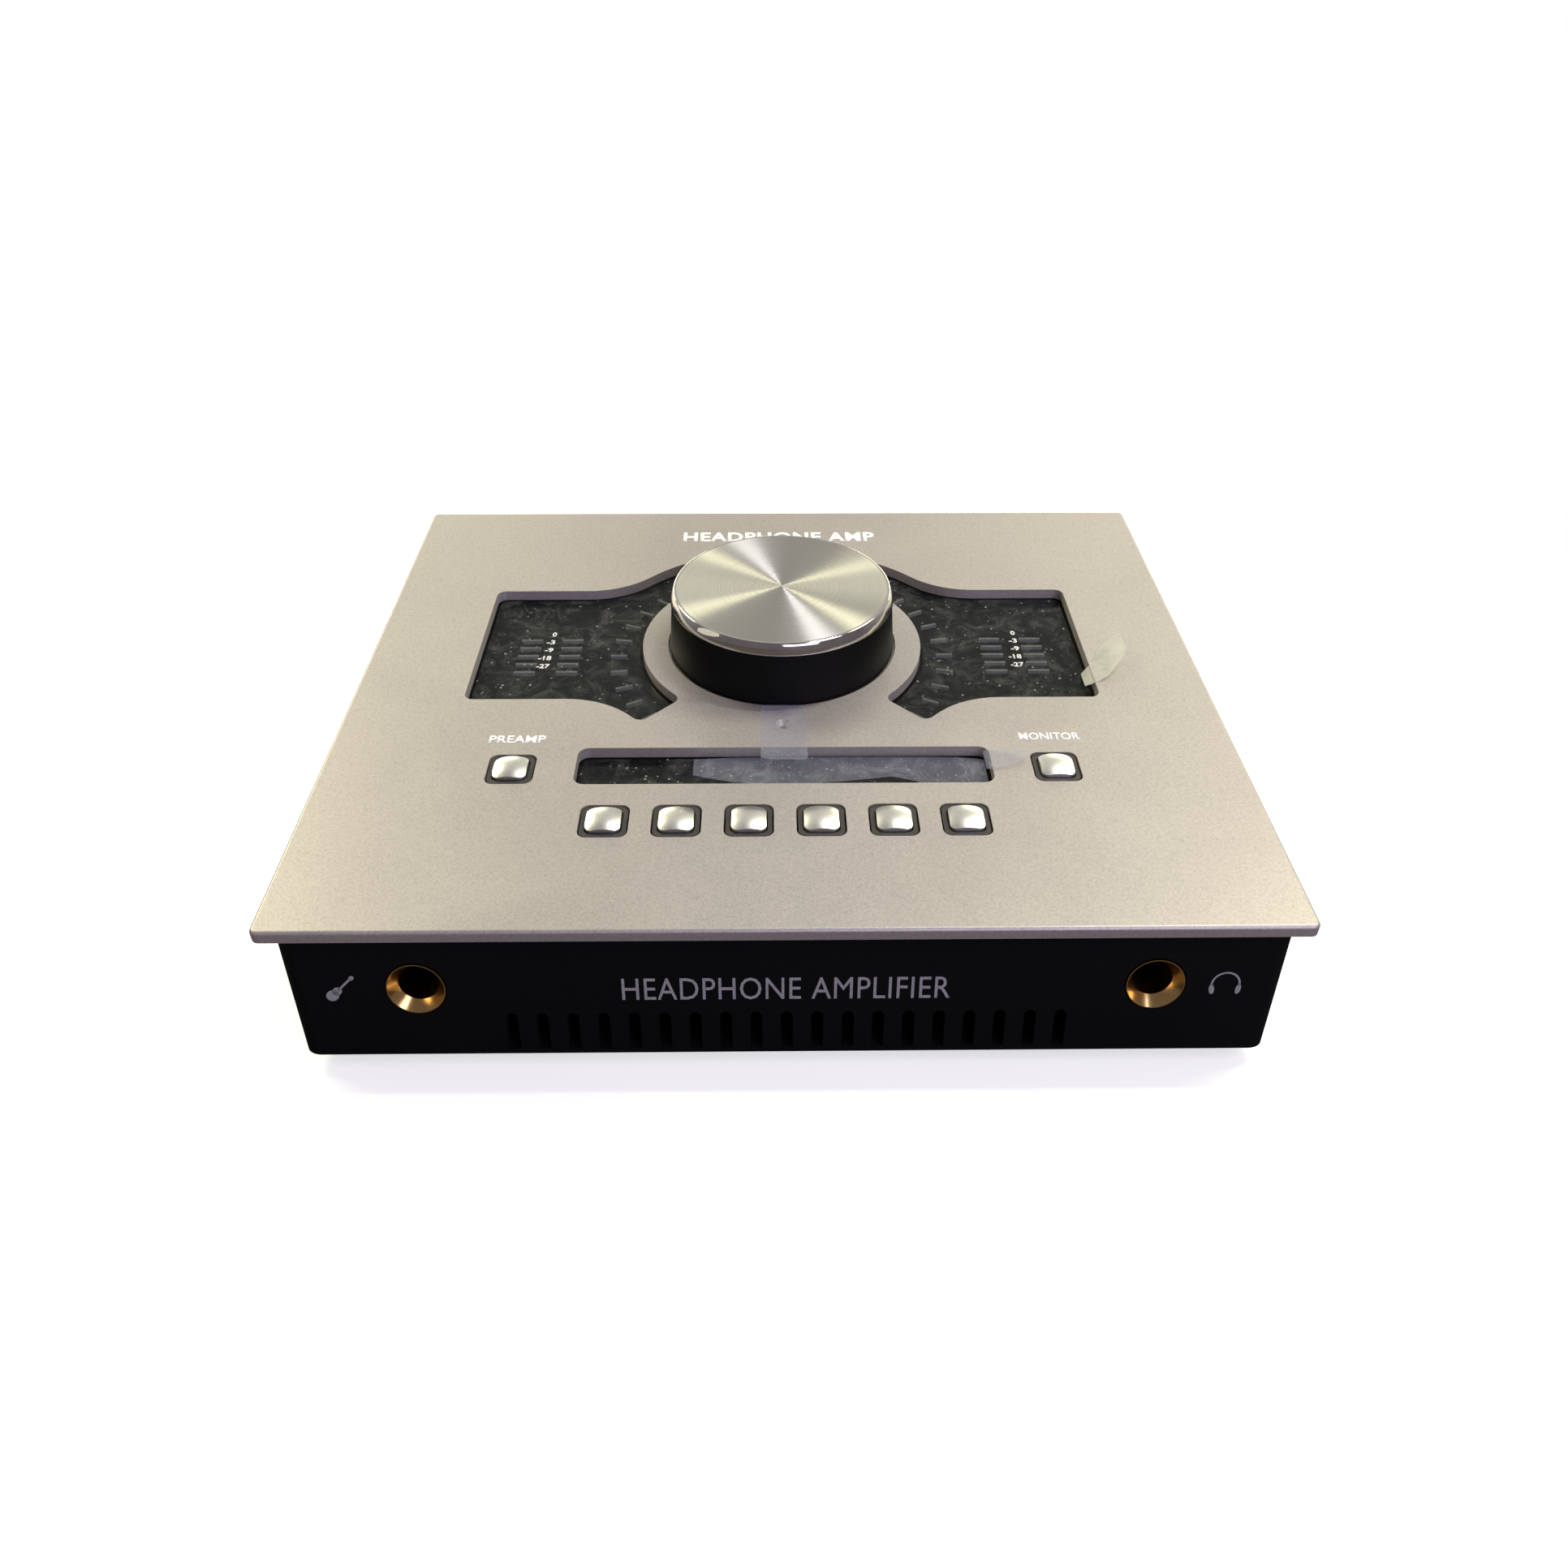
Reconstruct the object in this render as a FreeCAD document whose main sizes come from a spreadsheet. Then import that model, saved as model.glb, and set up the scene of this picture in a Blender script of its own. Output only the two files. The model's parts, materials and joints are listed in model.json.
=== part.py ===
"""Desktop headphone amplifier: a tilted metal deck on a tapered tray, in separate pieces.

The deck frame has its origin at the middle of the deck's top face: X to the right,
Y towards the back along the deck, Z out of it. The floor frame is level, with its
origin on the floor below the middle of the footprint and its front towards -Y.
"""
import FreeCAD, Part, Sketcher
import math
import os
from FreeCAD import Placement, Rotation, Vector

# ---------------------------------------------------------------- driving dimensions

DIMENSIONS = {
    # deck plate and its attitude
    "deck_width": 161.3, "deck_depth": 137.3, "deck_thick": 2.1, "deck_corner": 1.3,
    "deck_edge": 0.6, "deck_tilt": 14.5, "deck_height": 45.6,
    # tray below the deck
    "side_setback": 1.7, "front_setback": 2.65, "rear_setback": 3.0, "side_draft": 3.4,
    "front_lean": 11.0, "tray_corner": 3.0, "tray_wall": 1.8, "tray_floor": 2.0,
    "tray_drop": 70.0, "foot_tall": 3.2, "foot_radius": 6.5,
    # knob and encoder
    "knob_back": 12.3, "knob_radius": 21.45, "skirt_foot": 22.15, "knob_gap": -0.3,
    "skirt_top": 10.1, "groove_inner": 18.9, "groove_outer": 22.6, "groove_deep": 1.0,
    "cap_radius": 21.75, "face_radius": 20.9, "cap_top": 12.5, "spigot_radius": 17.0,
    "spigot_deep": 1.2, "skirt_wall": 2.0, "skirt_roof": 7.6, "post_radius": 7.5,
    "hub_radius": 5.0, "hub_low": 3.8, "shaft_radius": 3.0, "bushing_radius": 3.5,
    "bushing_top": 2.9, "washer_radius": 5.6, "washer_thick": 0.5, "nut_tall": 2.0,
    "encoder_side": 13.0, "encoder_top": -5.3, "encoder_low": -12.4, "run_gap": 0.05,
    "press_travel": 0.5, "plunger_tall": 0.4,
    # meter windows around the knob
    "window_reach": 59.7, "window_half": 20.0, "ring_inner": 27.6, "ring_outer": 38.0,
    "window_sweep": 17.0, "near_end": 46.5, "far_end": 58.0, "window_corner": 1.8,
    "lens_gap": 0.35, "lens_thick": 1.2, "lens_sink": 2.0, "lens_ledge": 1.0,
    "bar_long": 4.2, "bar_wide": 0.6, "bar_pitch": 2.93, "bar_column": 46.75,
    "bar_spread": 4.15, "tick_radius": 32.7, "tick_long": 3.3, "tick_step": 10.0,
    "guide_top": -3.3, "carrier_thick": 3.2, "carrier_bed": 1.9,
    "carrier_width": 128.0, "carrier_depth": 112.0, "carrier_back": -2.0,
    # display slot
    "display_width": 72.7, "display_deep": 10.3, "display_back": -28.2, "display_corner": 2.0,
    # push buttons
    "hole_side": 8.3, "hole_corner": 1.6, "bezel_side": 7.7, "bezel_inner": 6.2,
    "bezel_top": -0.2, "cap_side": 5.8, "cap_corner": 1.2, "dome_radius": 7.6,
    "dome_top": 1.2, "cap_low": -5.6, "stem_radius": 1.5, "stem_low": -7.2,
    "option_pitch": 12.0, "option_back": -43.1, "mode_side": 47.5, "mode_back": -29.0,
    "switch_side": 6.0, "switch_top": -6.4,
    # microphone
    "mic_back": -16.0, "mic_dimple": 1.45, "mic_bore": 0.55, "mic_radius": 2.0, "mic_tall": 1.5,
    # boards
    "board_thick": 1.6, "board_top": -9.4, "board_width": 128.0, "board_front": -48.0,
    "board_back": 50.0, "main_width": 128.0, "main_front": -52.0, "main_back": 47.0,
    "main_low": 7.0, "io_width": 140.0, "io_front": 42.0, "io_top": -14.0, "io_low": -50.0,
    # case screws and pillars
    "pillar_radius": 4.2, "screw_radius": 1.5, "head_radius": 2.8, "head_tall": 2.0,
    "pillar_side": 69.5, "pillar_front": -57.5, "pillar_rear": 34.0,
    "screw_up": 1.4, "boss_radius": 3.2, "boss_long": 9.0,
    # front sockets
    "jack_side": 57.8, "jack_down": 12.9, "jack_hole": 4.85, "rim_radius": 4.6,
    "rim_lip": 0.15, "rim_proud": 0.15, "plug_radius": 3.2, "rim_deep": 1.8,
    "bushing_long": 9.0, "jack_body_wide": 15.0, "jack_body_tall": 11.0, "jack_body_long": 30.0,
    # front vents
    "vent_count": 19, "vent_pitch": 4.83, "vent_wide": 1.9, "vent_top": -17.7, "vent_deep": 8.0,
    "vent_sill": 0.8,
    # rear panel and its connectors
    "panel_thick": 1.8, "panel_gap": 0.2, "combo_wide": 26.0, "combo_tall": 30.0,
    "combo_plate": 1.8, "combo_radius": 9.3, "combo_body": 12.0, "combo_down": 33.0,
    "combo_deep": 15.0, "latch_wide": 7.0, "latch_tall": 2.6, "latch_proud": 1.6,
    "line_body": 14.0, "line_nose": 4.6, "line_proud": 4.4,
    "line_nut": 6.4, "line_nut_thick": 2.2, "line_bore": 3.2, "line_bore_long": 18.0,
    "row_high": 24.0, "row_low": 42.0, "optical_side": 12.0, "optical_mouth": 8.6,
    "optical_proud": 0.8, "flap_thick": 0.8, "flap_gap": 0.3, "optical_deep": 16.0,
    "flap_sink": 5.0,
    "usb_wide": 9.0, "usb_tall": 3.3, "usb_wall": 0.35, "usb_deep": 7.0, "inlet_radius": 6.0,
    "inlet_bore": 4.6, "inlet_pin": 0.7, "inlet_deep": 7.0, "rocker_wide": 9.0,
    "rocker_tall": 15.0, "rocker_frame": 2.0, "rocker_tilt": 8.0, "lock_wide": 7.0,
    "lock_tall": 3.0,
    # parts on the main board
    "chip_side": 20.0, "chip_tall": 2.0, "sink_side": 34.0, "sink_base": 2.0, "fin_tall": 6.0,
    "fin_thick": 1.2, "fin_pitch": 4.0, "can_radius": 4.0, "can_tall": 11.0,
    "ribbon_wide": 24.0, "ribbon_thick": 0.4, "ribbon_back": 8.0, "spacer_radius": 3.0,
}

doc = FreeCAD.newDocument("headphone_amplifier")
sheet = doc.addObject("Spreadsheet::Sheet", "sizes")
for row, (alias, number) in enumerate(DIMENSIONS.items(), start=1):
    sheet.set(f"A{row}", alias)
    sheet.set(f"B{row}", str(number))
    sheet.setAlias(f"B{row}", alias)
doc.recompute()

parts = []


def size(expression):
    """The number behind an expression on the sheet, or the number itself."""
    if isinstance(expression, str):
        return float(sheet.evalExpression(expression))
    return float(expression)


def bind(item, prop, expression):
    """Tie a property to the sheet, or set it when the value is a plain number."""
    if isinstance(expression, str):
        item.setExpression(prop, expression)
    else:
        setattr(item, prop, expression)


# ---------------------------------------------------------------- derived values

TILT = size("sizes.deck_tilt")
LEAN = size("sizes.front_lean")
TRAY_TOP = -size("sizes.deck_thick")
FRONT_TOP = -size("sizes.deck_depth / 2 - sizes.front_setback")
REAR_FACE = size("sizes.deck_depth / 2 - sizes.rear_setback")
SIDE_TOP = size("sizes.deck_width / 2 - sizes.side_setback")
KNOB_BACK = size("sizes.knob_back")
BASE_LEVEL = size("sizes.foot_tall")
PANEL_FRONT = REAR_FACE - size("sizes.panel_thick")
BOARD_TOP = size("sizes.board_top")
IO_BACK = size("sizes.io_front + sizes.board_thick")

X_AXIS = Vector(1, 0, 0)
Y_AXIS = Vector(0, 1, 0)
DECK = Placement(Vector(0, 0, size("sizes.deck_height")), Rotation(X_AXIS, TILT))
FLOOR = Placement()


def at(frame, x=0.0, y=0.0, z=0.0, axis=X_AXIS, turn=0.0):
    """A place inside a frame, turned about one of the frame's axes."""
    return frame.multiply(Placement(Vector(x, y, z), Rotation(axis, turn)))


def front_face(height):
    """Y of the tray's front face at a height of the deck frame."""
    return FRONT_TOP - (TRAY_TOP - height) * math.tan(math.radians(LEAN))


def side_face(height):
    """X of the tray's right face at a height of the deck frame."""
    return SIDE_TOP - (TRAY_TOP - height) * math.tan(math.radians(size("sizes.side_draft")))


def deck_level(y, level):
    """Height in the deck frame of a level floor-frame height, at a deck-frame Y."""
    tilt = math.radians(TILT)
    return (level - size("sizes.deck_height") - y * math.sin(tilt)) / math.cos(tilt)


def jack_frame(side):
    """Frame on the front face at a socket: Y goes into the case along the socket."""
    down = -size("sizes.jack_down")
    return at(DECK, side * size("sizes.jack_side"), front_face(down), down, X_AXIS, -LEAN)


# ---------------------------------------------------------------- building blocks

def keep(item, label):
    """Name a finished piece and put it on the list of sub-parts."""
    item.Label = label
    parts.append(item)
    return item


def box(name, frame, low, length, width, height):
    """Box from its lowest corner; its three lengths are numbers or sheet expressions."""
    item = doc.addObject("Part::Box", name)
    bind(item, "Length", length)
    bind(item, "Width", width)
    bind(item, "Height", height)
    item.Placement = at(frame, *low)
    return item


def centred_box(name, frame, middle, length, width, height):
    """Box from the middle of its footprint (X, Y) and its lowest height."""
    low = (middle[0] - size(length) / 2, middle[1] - size(width) / 2, middle[2])
    return box(name, frame, low, length, width, height)


def rod(name, frame, foot, radius, height, axis=X_AXIS, turn=0.0):
    """Cylinder from the middle of its foot, along Z of the frame unless it is turned."""
    item = doc.addObject("Part::Cylinder", name)
    bind(item, "Radius", radius)
    bind(item, "Height", height)
    item.Placement = at(frame, *foot, axis, turn)
    return item


def cut(name, base, *tools):
    """One piece with others taken away."""
    for count, tool in enumerate(tools, start=1):
        item = doc.addObject("Part::Cut", f"{name}_{count}")
        item.Base = base
        item.Tool = tool
        base = item
    return base


def fuse(name, *items):
    """Several solids joined into one piece."""
    item = doc.addObject("Part::MultiFuse", name)
    item.Shapes = list(items)
    return item


def common(name, first, second):
    """What two solids share."""
    item = doc.addObject("Part::Common", name)
    item.Base = first
    item.Tool = second
    return item


def group(name, items):
    """Separate solids of the same kind that share one node."""
    item = doc.addObject("Part::Compound", name)
    item.Links = list(items)
    return item


def rounded(name, base, radius, chosen):
    """Round the edges of a piece for which chosen(edge) is true."""
    doc.recompute()
    item = doc.addObject("Part::Fillet", name)
    item.Base = base
    amount = size(radius)
    edges = enumerate(base.Shape.Edges, start=1)
    item.Edges = [(number, amount, amount) for number, edge in edges if chosen(edge)]
    return item


def upright(frame):
    """Test for straight edges along Z of a frame."""
    direction = frame.Rotation.multVec(Vector(0, 0, 1))

    def test(edge):
        run = edge.Vertexes[-1].Point - edge.Vertexes[0].Point
        return run.Length > 0.1 and abs(run.normalize().dot(direction)) > 0.999
    return test


def rounded_block(name, frame, middle, length, width, height, corner):
    """Box with its four upright edges rounded."""
    block = centred_box(f"{name}_block", frame, middle, length, width, height)
    return rounded(name, block, corner, upright(frame))


def new_body(name, frame):
    body = doc.addObject("PartDesign::Body", name)
    body.Placement = frame
    return body


def sketch_in(body, name, role="XY_Plane", offset=0.0):
    """Empty sketch on one of the body's own origin planes."""
    plane = [item for item in body.Origin.OriginFeatures if item.Role == role][0]
    sketch = body.newObject("Sketcher::SketchObject", name)
    sketch.AttachmentSupport = [(plane, "")]
    sketch.MapMode = "FlatFace"
    sketch.AttachmentOffset = Placement(Vector(0, 0, offset), Rotation())
    return sketch


def draw_polygon(sketch, points):
    """Closed outline of straight lines."""
    corners = [Vector(x, y, 0) for x, y in points]
    for start, end in zip(corners, corners[1:] + corners[:1]):
        sketch.addGeometry(Part.LineSegment(start, end), False)


def draw_rectangle(sketch, middle, width, depth):
    """Rectangle whose width and depth are constraints tied to the sheet."""
    x, y = middle
    half_width, half_depth = size(width) / 2, size(depth) / 2
    first = sketch.GeometryCount
    draw_polygon(sketch, [(x - half_width, y - half_depth), (x + half_width, y - half_depth),
                          (x + half_width, y + half_depth), (x - half_width, y + half_depth)])
    for step in range(4):
        follower = first + (step + 1) % 4
        sketch.addConstraint(Sketcher.Constraint("Coincident", first + step, 2, follower, 1))
        kind = "Vertical" if step % 2 else "Horizontal"
        sketch.addConstraint(Sketcher.Constraint(kind, first + step))
    spans = (("DistanceX", first, 2 * half_width, width, "width"),
             ("DistanceY", first + 1, 2 * half_depth, depth, "depth"))
    for kind, line, amount, expression, label in spans:
        number = sketch.addConstraint(Sketcher.Constraint(kind, line, 1, line, 2, amount))
        sketch.renameConstraint(number, f"{label}{first}")
        if isinstance(expression, str):
            sketch.setExpression(f"Constraints.{label}{first}", expression)
    sketch.addConstraint(Sketcher.Constraint("DistanceX", -1, 1, first, 1, x - half_width))
    sketch.addConstraint(Sketcher.Constraint("DistanceY", -1, 1, first, 1, y - half_depth))


def pad(body, sketch, length):
    feature = body.newObject("PartDesign::Pad", f"{sketch.Name}_pad")
    feature.Profile = sketch
    bind(feature, "Length", length)
    return feature


def pocket(body, sketch, length):
    """Cut against the sketch's normal, and check that it took something away."""
    doc.recompute()
    before = body.Shape.Volume
    feature = body.newObject("PartDesign::Pocket", f"{sketch.Name}_pocket")
    feature.Profile = sketch
    bind(feature, "Length", length)
    doc.recompute()
    if body.Shape.Volume > before - 0.01:
        raise RuntimeError(f"{sketch.Name} cut nothing")
    return feature


def dress(body, kind, prop, amount, chosen):
    """Fillet or chamfer the edges of the body for which chosen(edge) is true."""
    doc.recompute()
    base = body.Tip
    edges = enumerate(base.Shape.Edges, start=1)
    names = [f"Edge{number}" for number, edge in edges if chosen(edge)]
    feature = body.newObject(f"PartDesign::{kind}", f"{body.Name}_{kind}_{len(body.Group)}")
    feature.Base = (base, names)
    bind(feature, prop, amount)
    return feature


def revolved(name, frame, points):
    """Body turned from a closed half-profile of (radius, height) points."""
    body = new_body(name, frame)
    sketch = sketch_in(body, f"{name}_profile", "XZ_Plane")
    draw_polygon(sketch, points)
    feature = body.newObject("PartDesign::Revolution", f"{name}_turned")
    feature.Profile = sketch
    feature.ReferenceAxis = (sketch, ["V_Axis"])
    feature.Angle = 360
    return body


def extruded(name, frame, outlines, length, down=0):
    """Solids raised along Z, and let down, from several outlines drawn in one sketch."""
    sketch = doc.addObject("Sketcher::SketchObject", f"{name}_outlines")
    sketch.Placement = frame
    for outline in outlines:
        draw_polygon(sketch, outline)
    item = doc.addObject("Part::Extrusion", name)
    item.Base = sketch
    item.DirMode = "Normal"
    item.Solid = True
    bind(item, "LengthFwd", length)
    bind(item, "LengthRev", down)
    return item


# ---------------------------------------------------------------- outlines on the deck

def ring_point(side, radius, angle):
    turn = math.radians(angle)
    return Vector(side * radius * math.cos(turn), KNOB_BACK + radius * math.sin(turn), 0)


def window_curves(side, inset):
    """Meter window: a rectangle that flows by two sweeps into a band around the knob."""
    half = size("sizes.window_half") - inset
    reach = side * (size("sizes.window_reach") - inset)
    inner = size("sizes.ring_inner") + inset
    outer = size("sizes.ring_outer") - inset
    sweep = size("sizes.window_sweep") + inset
    trim = math.degrees(inset / (inner + outer) * 2)
    near = -(size("sizes.near_end") - trim)
    far = size("sizes.far_end") - trim
    sweep_x = math.sqrt((outer + sweep) ** 2 - (half + sweep) ** 2)
    touch = math.degrees(math.atan2(half + sweep, sweep_x))
    curves = []
    for end, sign in ((near, -1), (far, 1)):
        corner = Vector(side * sweep_x, KNOB_BACK + sign * half, 0)
        middle_turn = math.radians((90 - touch) / 2)
        centre = Vector(side * sweep_x, KNOB_BACK + sign * (half + sweep), 0)
        bend = centre - Vector(side * math.sin(middle_turn), sign * math.cos(middle_turn), 0) * sweep
        joint = ring_point(side, outer, sign * touch)
        outer_end = ring_point(side, outer, end)
        curves.append(Part.LineSegment(Vector(reach, corner.y, 0), corner))
        curves.append(Part.Arc(corner, bend, joint))
        curves.append(Part.Arc(joint, ring_point(side, outer, (sign * touch + end) / 2), outer_end))
        curves.append(Part.LineSegment(outer_end, ring_point(side, inner, end)))
    curves.append(Part.LineSegment(Vector(reach, KNOB_BACK - half, 0),
                                   Vector(reach, KNOB_BACK + half, 0)))
    curves.append(Part.Arc(ring_point(side, inner, near), ring_point(side, inner, (near + far) / 2),
                           ring_point(side, inner, far)))
    return curves


def window_sketch(body, name, side, inset, height):
    sketch = sketch_in(body, name, "XY_Plane", height)
    for curve in window_curves(side, inset):
        sketch.addGeometry(curve, False)
    return sketch


def draw_rounded(sketch, middle, width, depth, corner):
    """Rectangle with rounded corners: four arcs joined by four lines."""
    bend = size(corner)
    across, along = size(width) / 2 - bend, size(depth) / 2 - bend
    arcs = []
    for quarter, (sign_x, sign_y) in enumerate(((1, 1), (-1, 1), (-1, -1), (1, -1))):
        centre = Vector(middle[0] + sign_x * across, middle[1] + sign_y * along, 0)
        turns = [math.radians(90 * quarter + step) for step in (0, 45, 90)]
        arcs.append([centre + Vector(math.cos(turn), math.sin(turn), 0) * bend for turn in turns])
    for arc, follower in zip(arcs, arcs[1:] + arcs[:1]):
        sketch.addGeometry(Part.Arc(*arc), False)
        sketch.addGeometry(Part.LineSegment(arc[2], follower[0]), False)


def window_corner_test(side):
    """Test for upright edges at the corners where a window's straight edges meet."""
    half = size("sizes.window_half")
    reach = size("sizes.window_reach")
    spots = [Vector(side * reach, KNOB_BACK - half, 0), Vector(side * reach, KNOB_BACK + half, 0)]
    for end in (-size("sizes.near_end"), size("sizes.far_end")):
        spots.append(ring_point(side, size("sizes.ring_inner"), end))
        spots.append(ring_point(side, size("sizes.ring_outer"), end))
    near_enough = 2 * size("sizes.lens_ledge")

    def test(edge):
        start, end = edge.Vertexes[0].Point, edge.Vertexes[-1].Point
        flat = Vector(start.x, start.y, 0)
        straight_up = abs(start.x - end.x) + abs(start.y - end.y) < 1e-4
        return straight_up and any((flat - spot).Length < near_enough for spot in spots)
    return test


BUTTONS = {"preamp_button": (-size("sizes.mode_side"), size("sizes.mode_back")),
           "monitor_button": (size("sizes.mode_side"), size("sizes.mode_back"))}
for place in range(6):
    BUTTONS[f"option_button_{place + 1}"] = ((place - 2.5) * size("sizes.option_pitch"),
                                             size("sizes.option_back"))

PILLARS = [(side * size("sizes.pillar_side"), size(back)) for side in (-1, 1)
           for back in ("sizes.pillar_front", "sizes.pillar_rear")]

# ---------------------------------------------------------------- deck and windows

def make_top_plate():
    body = new_body("top_plate_body", DECK)
    outline = sketch_in(body, "deck_outline", "XY_Plane", TRAY_TOP)
    draw_rectangle(outline, (0, 0), "sizes.deck_width", "sizes.deck_depth")
    pad(body, outline, "sizes.deck_thick")
    dress(body, "Fillet", "Radius", "sizes.deck_corner", upright(FLOOR))
    dress(body, "Fillet", "Radius", "sizes.deck_edge",
          lambda edge: min(point.Point.z for point in edge.Vertexes) > -1e-3)
    for side, name in ((-1, "left_window"), (1, "right_window")):
        pocket(body, window_sketch(body, name, side, 0.0, 0.0), "sizes.deck_thick")
        dress(body, "Fillet", "Radius", "sizes.window_corner", window_corner_test(side))
    slot = sketch_in(body, "display_slot")
    draw_rounded(slot, (0, size("sizes.display_back")), "sizes.display_width",
                 "sizes.display_deep", "sizes.display_corner")
    pocket(body, slot, "sizes.deck_thick")
    for name, spot in BUTTONS.items():
        hole = sketch_in(body, f"{name}_hole")
        draw_rounded(hole, spot, "sizes.hole_side", "sizes.hole_side", "sizes.hole_corner")
        pocket(body, hole, "sizes.deck_thick")
    doc.recompute()
    mic_back = size("sizes.mic_back")
    dimple = doc.addObject("Part::Cone", "mic_dimple")
    bind(dimple, "Radius1", "sizes.mic_bore")
    bind(dimple, "Radius2", "sizes.mic_dimple")
    bind(dimple, "Height", "sizes.mic_bore * 1.6")
    dimple.Placement = at(DECK, 0, mic_back, -size("sizes.mic_bore * 1.6"))
    tools = [dimple,
             rod("mic_hole", DECK, (0, mic_back, -3), "sizes.mic_bore", 3),
             rod("encoder_hole", DECK, (0, KNOB_BACK, -3), "sizes.bushing_radius + sizes.run_gap", 4)]
    groove = [rod(f"knob_groove_{edge}", DECK, (0, KNOB_BACK, -size("sizes.groove_deep")),
                  f"sizes.groove_{edge}", 4) for edge in ("outer", "inner")]
    tools.append(cut("knob_groove", *groove))
    for number, (x, y) in enumerate(PILLARS):
        tools.append(rod(f"deck_thread_{number}", DECK, (x, y, TRAY_TOP - 0.5),
                         "sizes.screw_radius + sizes.run_gap", "sizes.screw_up + 0.6"))
    keep(cut("top_plate", body, *tools), "top_plate")


def guide_outlines(side, grow):
    """Light-guide bars of one meter and the ticks of its half of the ring."""
    outlines = []

    def add_bar(x, y, long, wide, angle):
        turn = math.radians(angle)
        along = Vector(math.cos(turn), math.sin(turn), 0) * (long / 2 + grow)
        across = Vector(-math.sin(turn), math.cos(turn), 0) * (wide / 2 + grow)
        middle = Vector(x, y, 0)
        corners = (middle - along - across, middle + along - across,
                   middle + along + across, middle - along + across)
        outlines.append([(corner.x, corner.y) for corner in corners])

    for column in (-1, 1):
        for row in range(-2, 3):
            x = side * size("sizes.bar_column") + column * size("sizes.bar_spread")
            y = KNOB_BACK + row * size("sizes.bar_pitch")
            add_bar(x, y, size("sizes.bar_long"), size("sizes.bar_wide"), 0)
    for step in range(-4, 6):
        angle = step * size("sizes.tick_step")
        spot = ring_point(side, size("sizes.tick_radius"), angle)
        add_bar(spot.x, spot.y, size("sizes.tick_long"), size("sizes.bar_wide"), side * angle)
    return outlines


def make_carrier():
    """Black moulding under the deck that seats the lenses, the bezels and the guides."""
    body = new_body("lens_carrier_body", DECK)
    low = TRAY_TOP - size("sizes.carrier_thick")
    outline = sketch_in(body, "carrier_outline", "XY_Plane", low)
    draw_rectangle(outline, (0, size("sizes.carrier_back")), "sizes.carrier_width",
                   "sizes.carrier_depth")
    pad(body, outline, "sizes.carrier_thick")
    seat = size("sizes.lens_sink + sizes.lens_thick + sizes.deck_thick * -1")
    for side, name in ((-1, "left"), (1, "right")):
        pocket(body, window_sketch(body, f"{name}_seat", side, 0.0, TRAY_TOP), seat)
        ledge = size("sizes.lens_ledge")
        pocket(body, window_sketch(body, f"{name}_bed", side, ledge, TRAY_TOP), "sizes.carrier_bed")
    display = (0, size("sizes.display_back"))
    for name, inset, deep in (("display_seat", 0, seat), ("display_way", 2, 4)):
        slot = sketch_in(body, name, "XY_Plane", TRAY_TOP)
        draw_rounded(slot, display, f"sizes.display_width - {inset}",
                     f"sizes.display_deep - {inset}", "sizes.display_corner / 1.5")
        pocket(body, slot, deep)
    for name, spot in BUTTONS.items():
        hole = sketch_in(body, f"{name}_way", "XY_Plane", TRAY_TOP)
        draw_rounded(hole, spot, "sizes.bezel_inner", "sizes.bezel_inner", "sizes.cap_corner")
        pocket(body, hole, 4)
    doc.recompute()
    tools = [extruded(f"{name}_guide_slots", at(DECK, z=low - 1), guide_outlines(side, 0.04), 4)
             for side, name in ((-1, "left"), (1, "right"))]
    tools.append(rod("carrier_encoder_way", DECK, (0, KNOB_BACK, low - 1),
                     "sizes.bushing_radius + sizes.run_gap", 6))
    tools.append(rod("carrier_mic_way", DECK, (0, size("sizes.mic_back"), low - 1),
                     "sizes.mic_bore", 6))
    keep(cut("lens_carrier", body, *tools), "lens_carrier")


def make_lens(name, side):
    body = new_body(name, DECK)
    top = -size("sizes.lens_sink")
    outline = window_sketch(body, f"{name}_outline", side, size("sizes.lens_gap"),
                            top - size("sizes.lens_thick"))
    pad(body, outline, "sizes.lens_thick")
    dress(body, "Fillet", "Radius", "sizes.window_corner - sizes.lens_gap",
          window_corner_test(side))
    dress(body, "Chamfer", "Size", "sizes.lens_gap",
          lambda edge: min(point.Point.z for point in edge.Vertexes) > top - 1e-3)
    keep(body, name)


def make_display():
    middle = (0, size("sizes.display_back"))
    body = new_body("display_lens", DECK)
    top = -size("sizes.lens_sink")
    outline = sketch_in(body, "display_lens_outline", "XY_Plane", top - size("sizes.lens_thick"))
    draw_rounded(outline, middle, "sizes.display_width - 2 * sizes.lens_gap",
                 "sizes.display_deep - 2 * sizes.lens_gap",
                 "sizes.display_corner - sizes.lens_gap")
    pad(body, outline, "sizes.lens_thick")
    dress(body, "Chamfer", "Size", "sizes.lens_gap",
          lambda edge: min(point.Point.z for point in edge.Vertexes) > top - 1e-3)
    keep(body, "display_lens")
    screen_top = -size("sizes.lens_sink + sizes.lens_thick") - 0.1
    keep(centred_box("display_module", DECK, (*middle, BOARD_TOP), "sizes.display_width - 3",
                     "sizes.display_deep - 3", screen_top - BOARD_TOP), "display_module")


def make_guides():
    for side, name in ((-1, "left_light_guides"), (1, "right_light_guides")):
        keep(extruded(name, at(DECK, z=BOARD_TOP), guide_outlines(side, 0.0),
                      size("sizes.guide_top") - BOARD_TOP), name)


# ---------------------------------------------------------------- buttons

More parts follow.
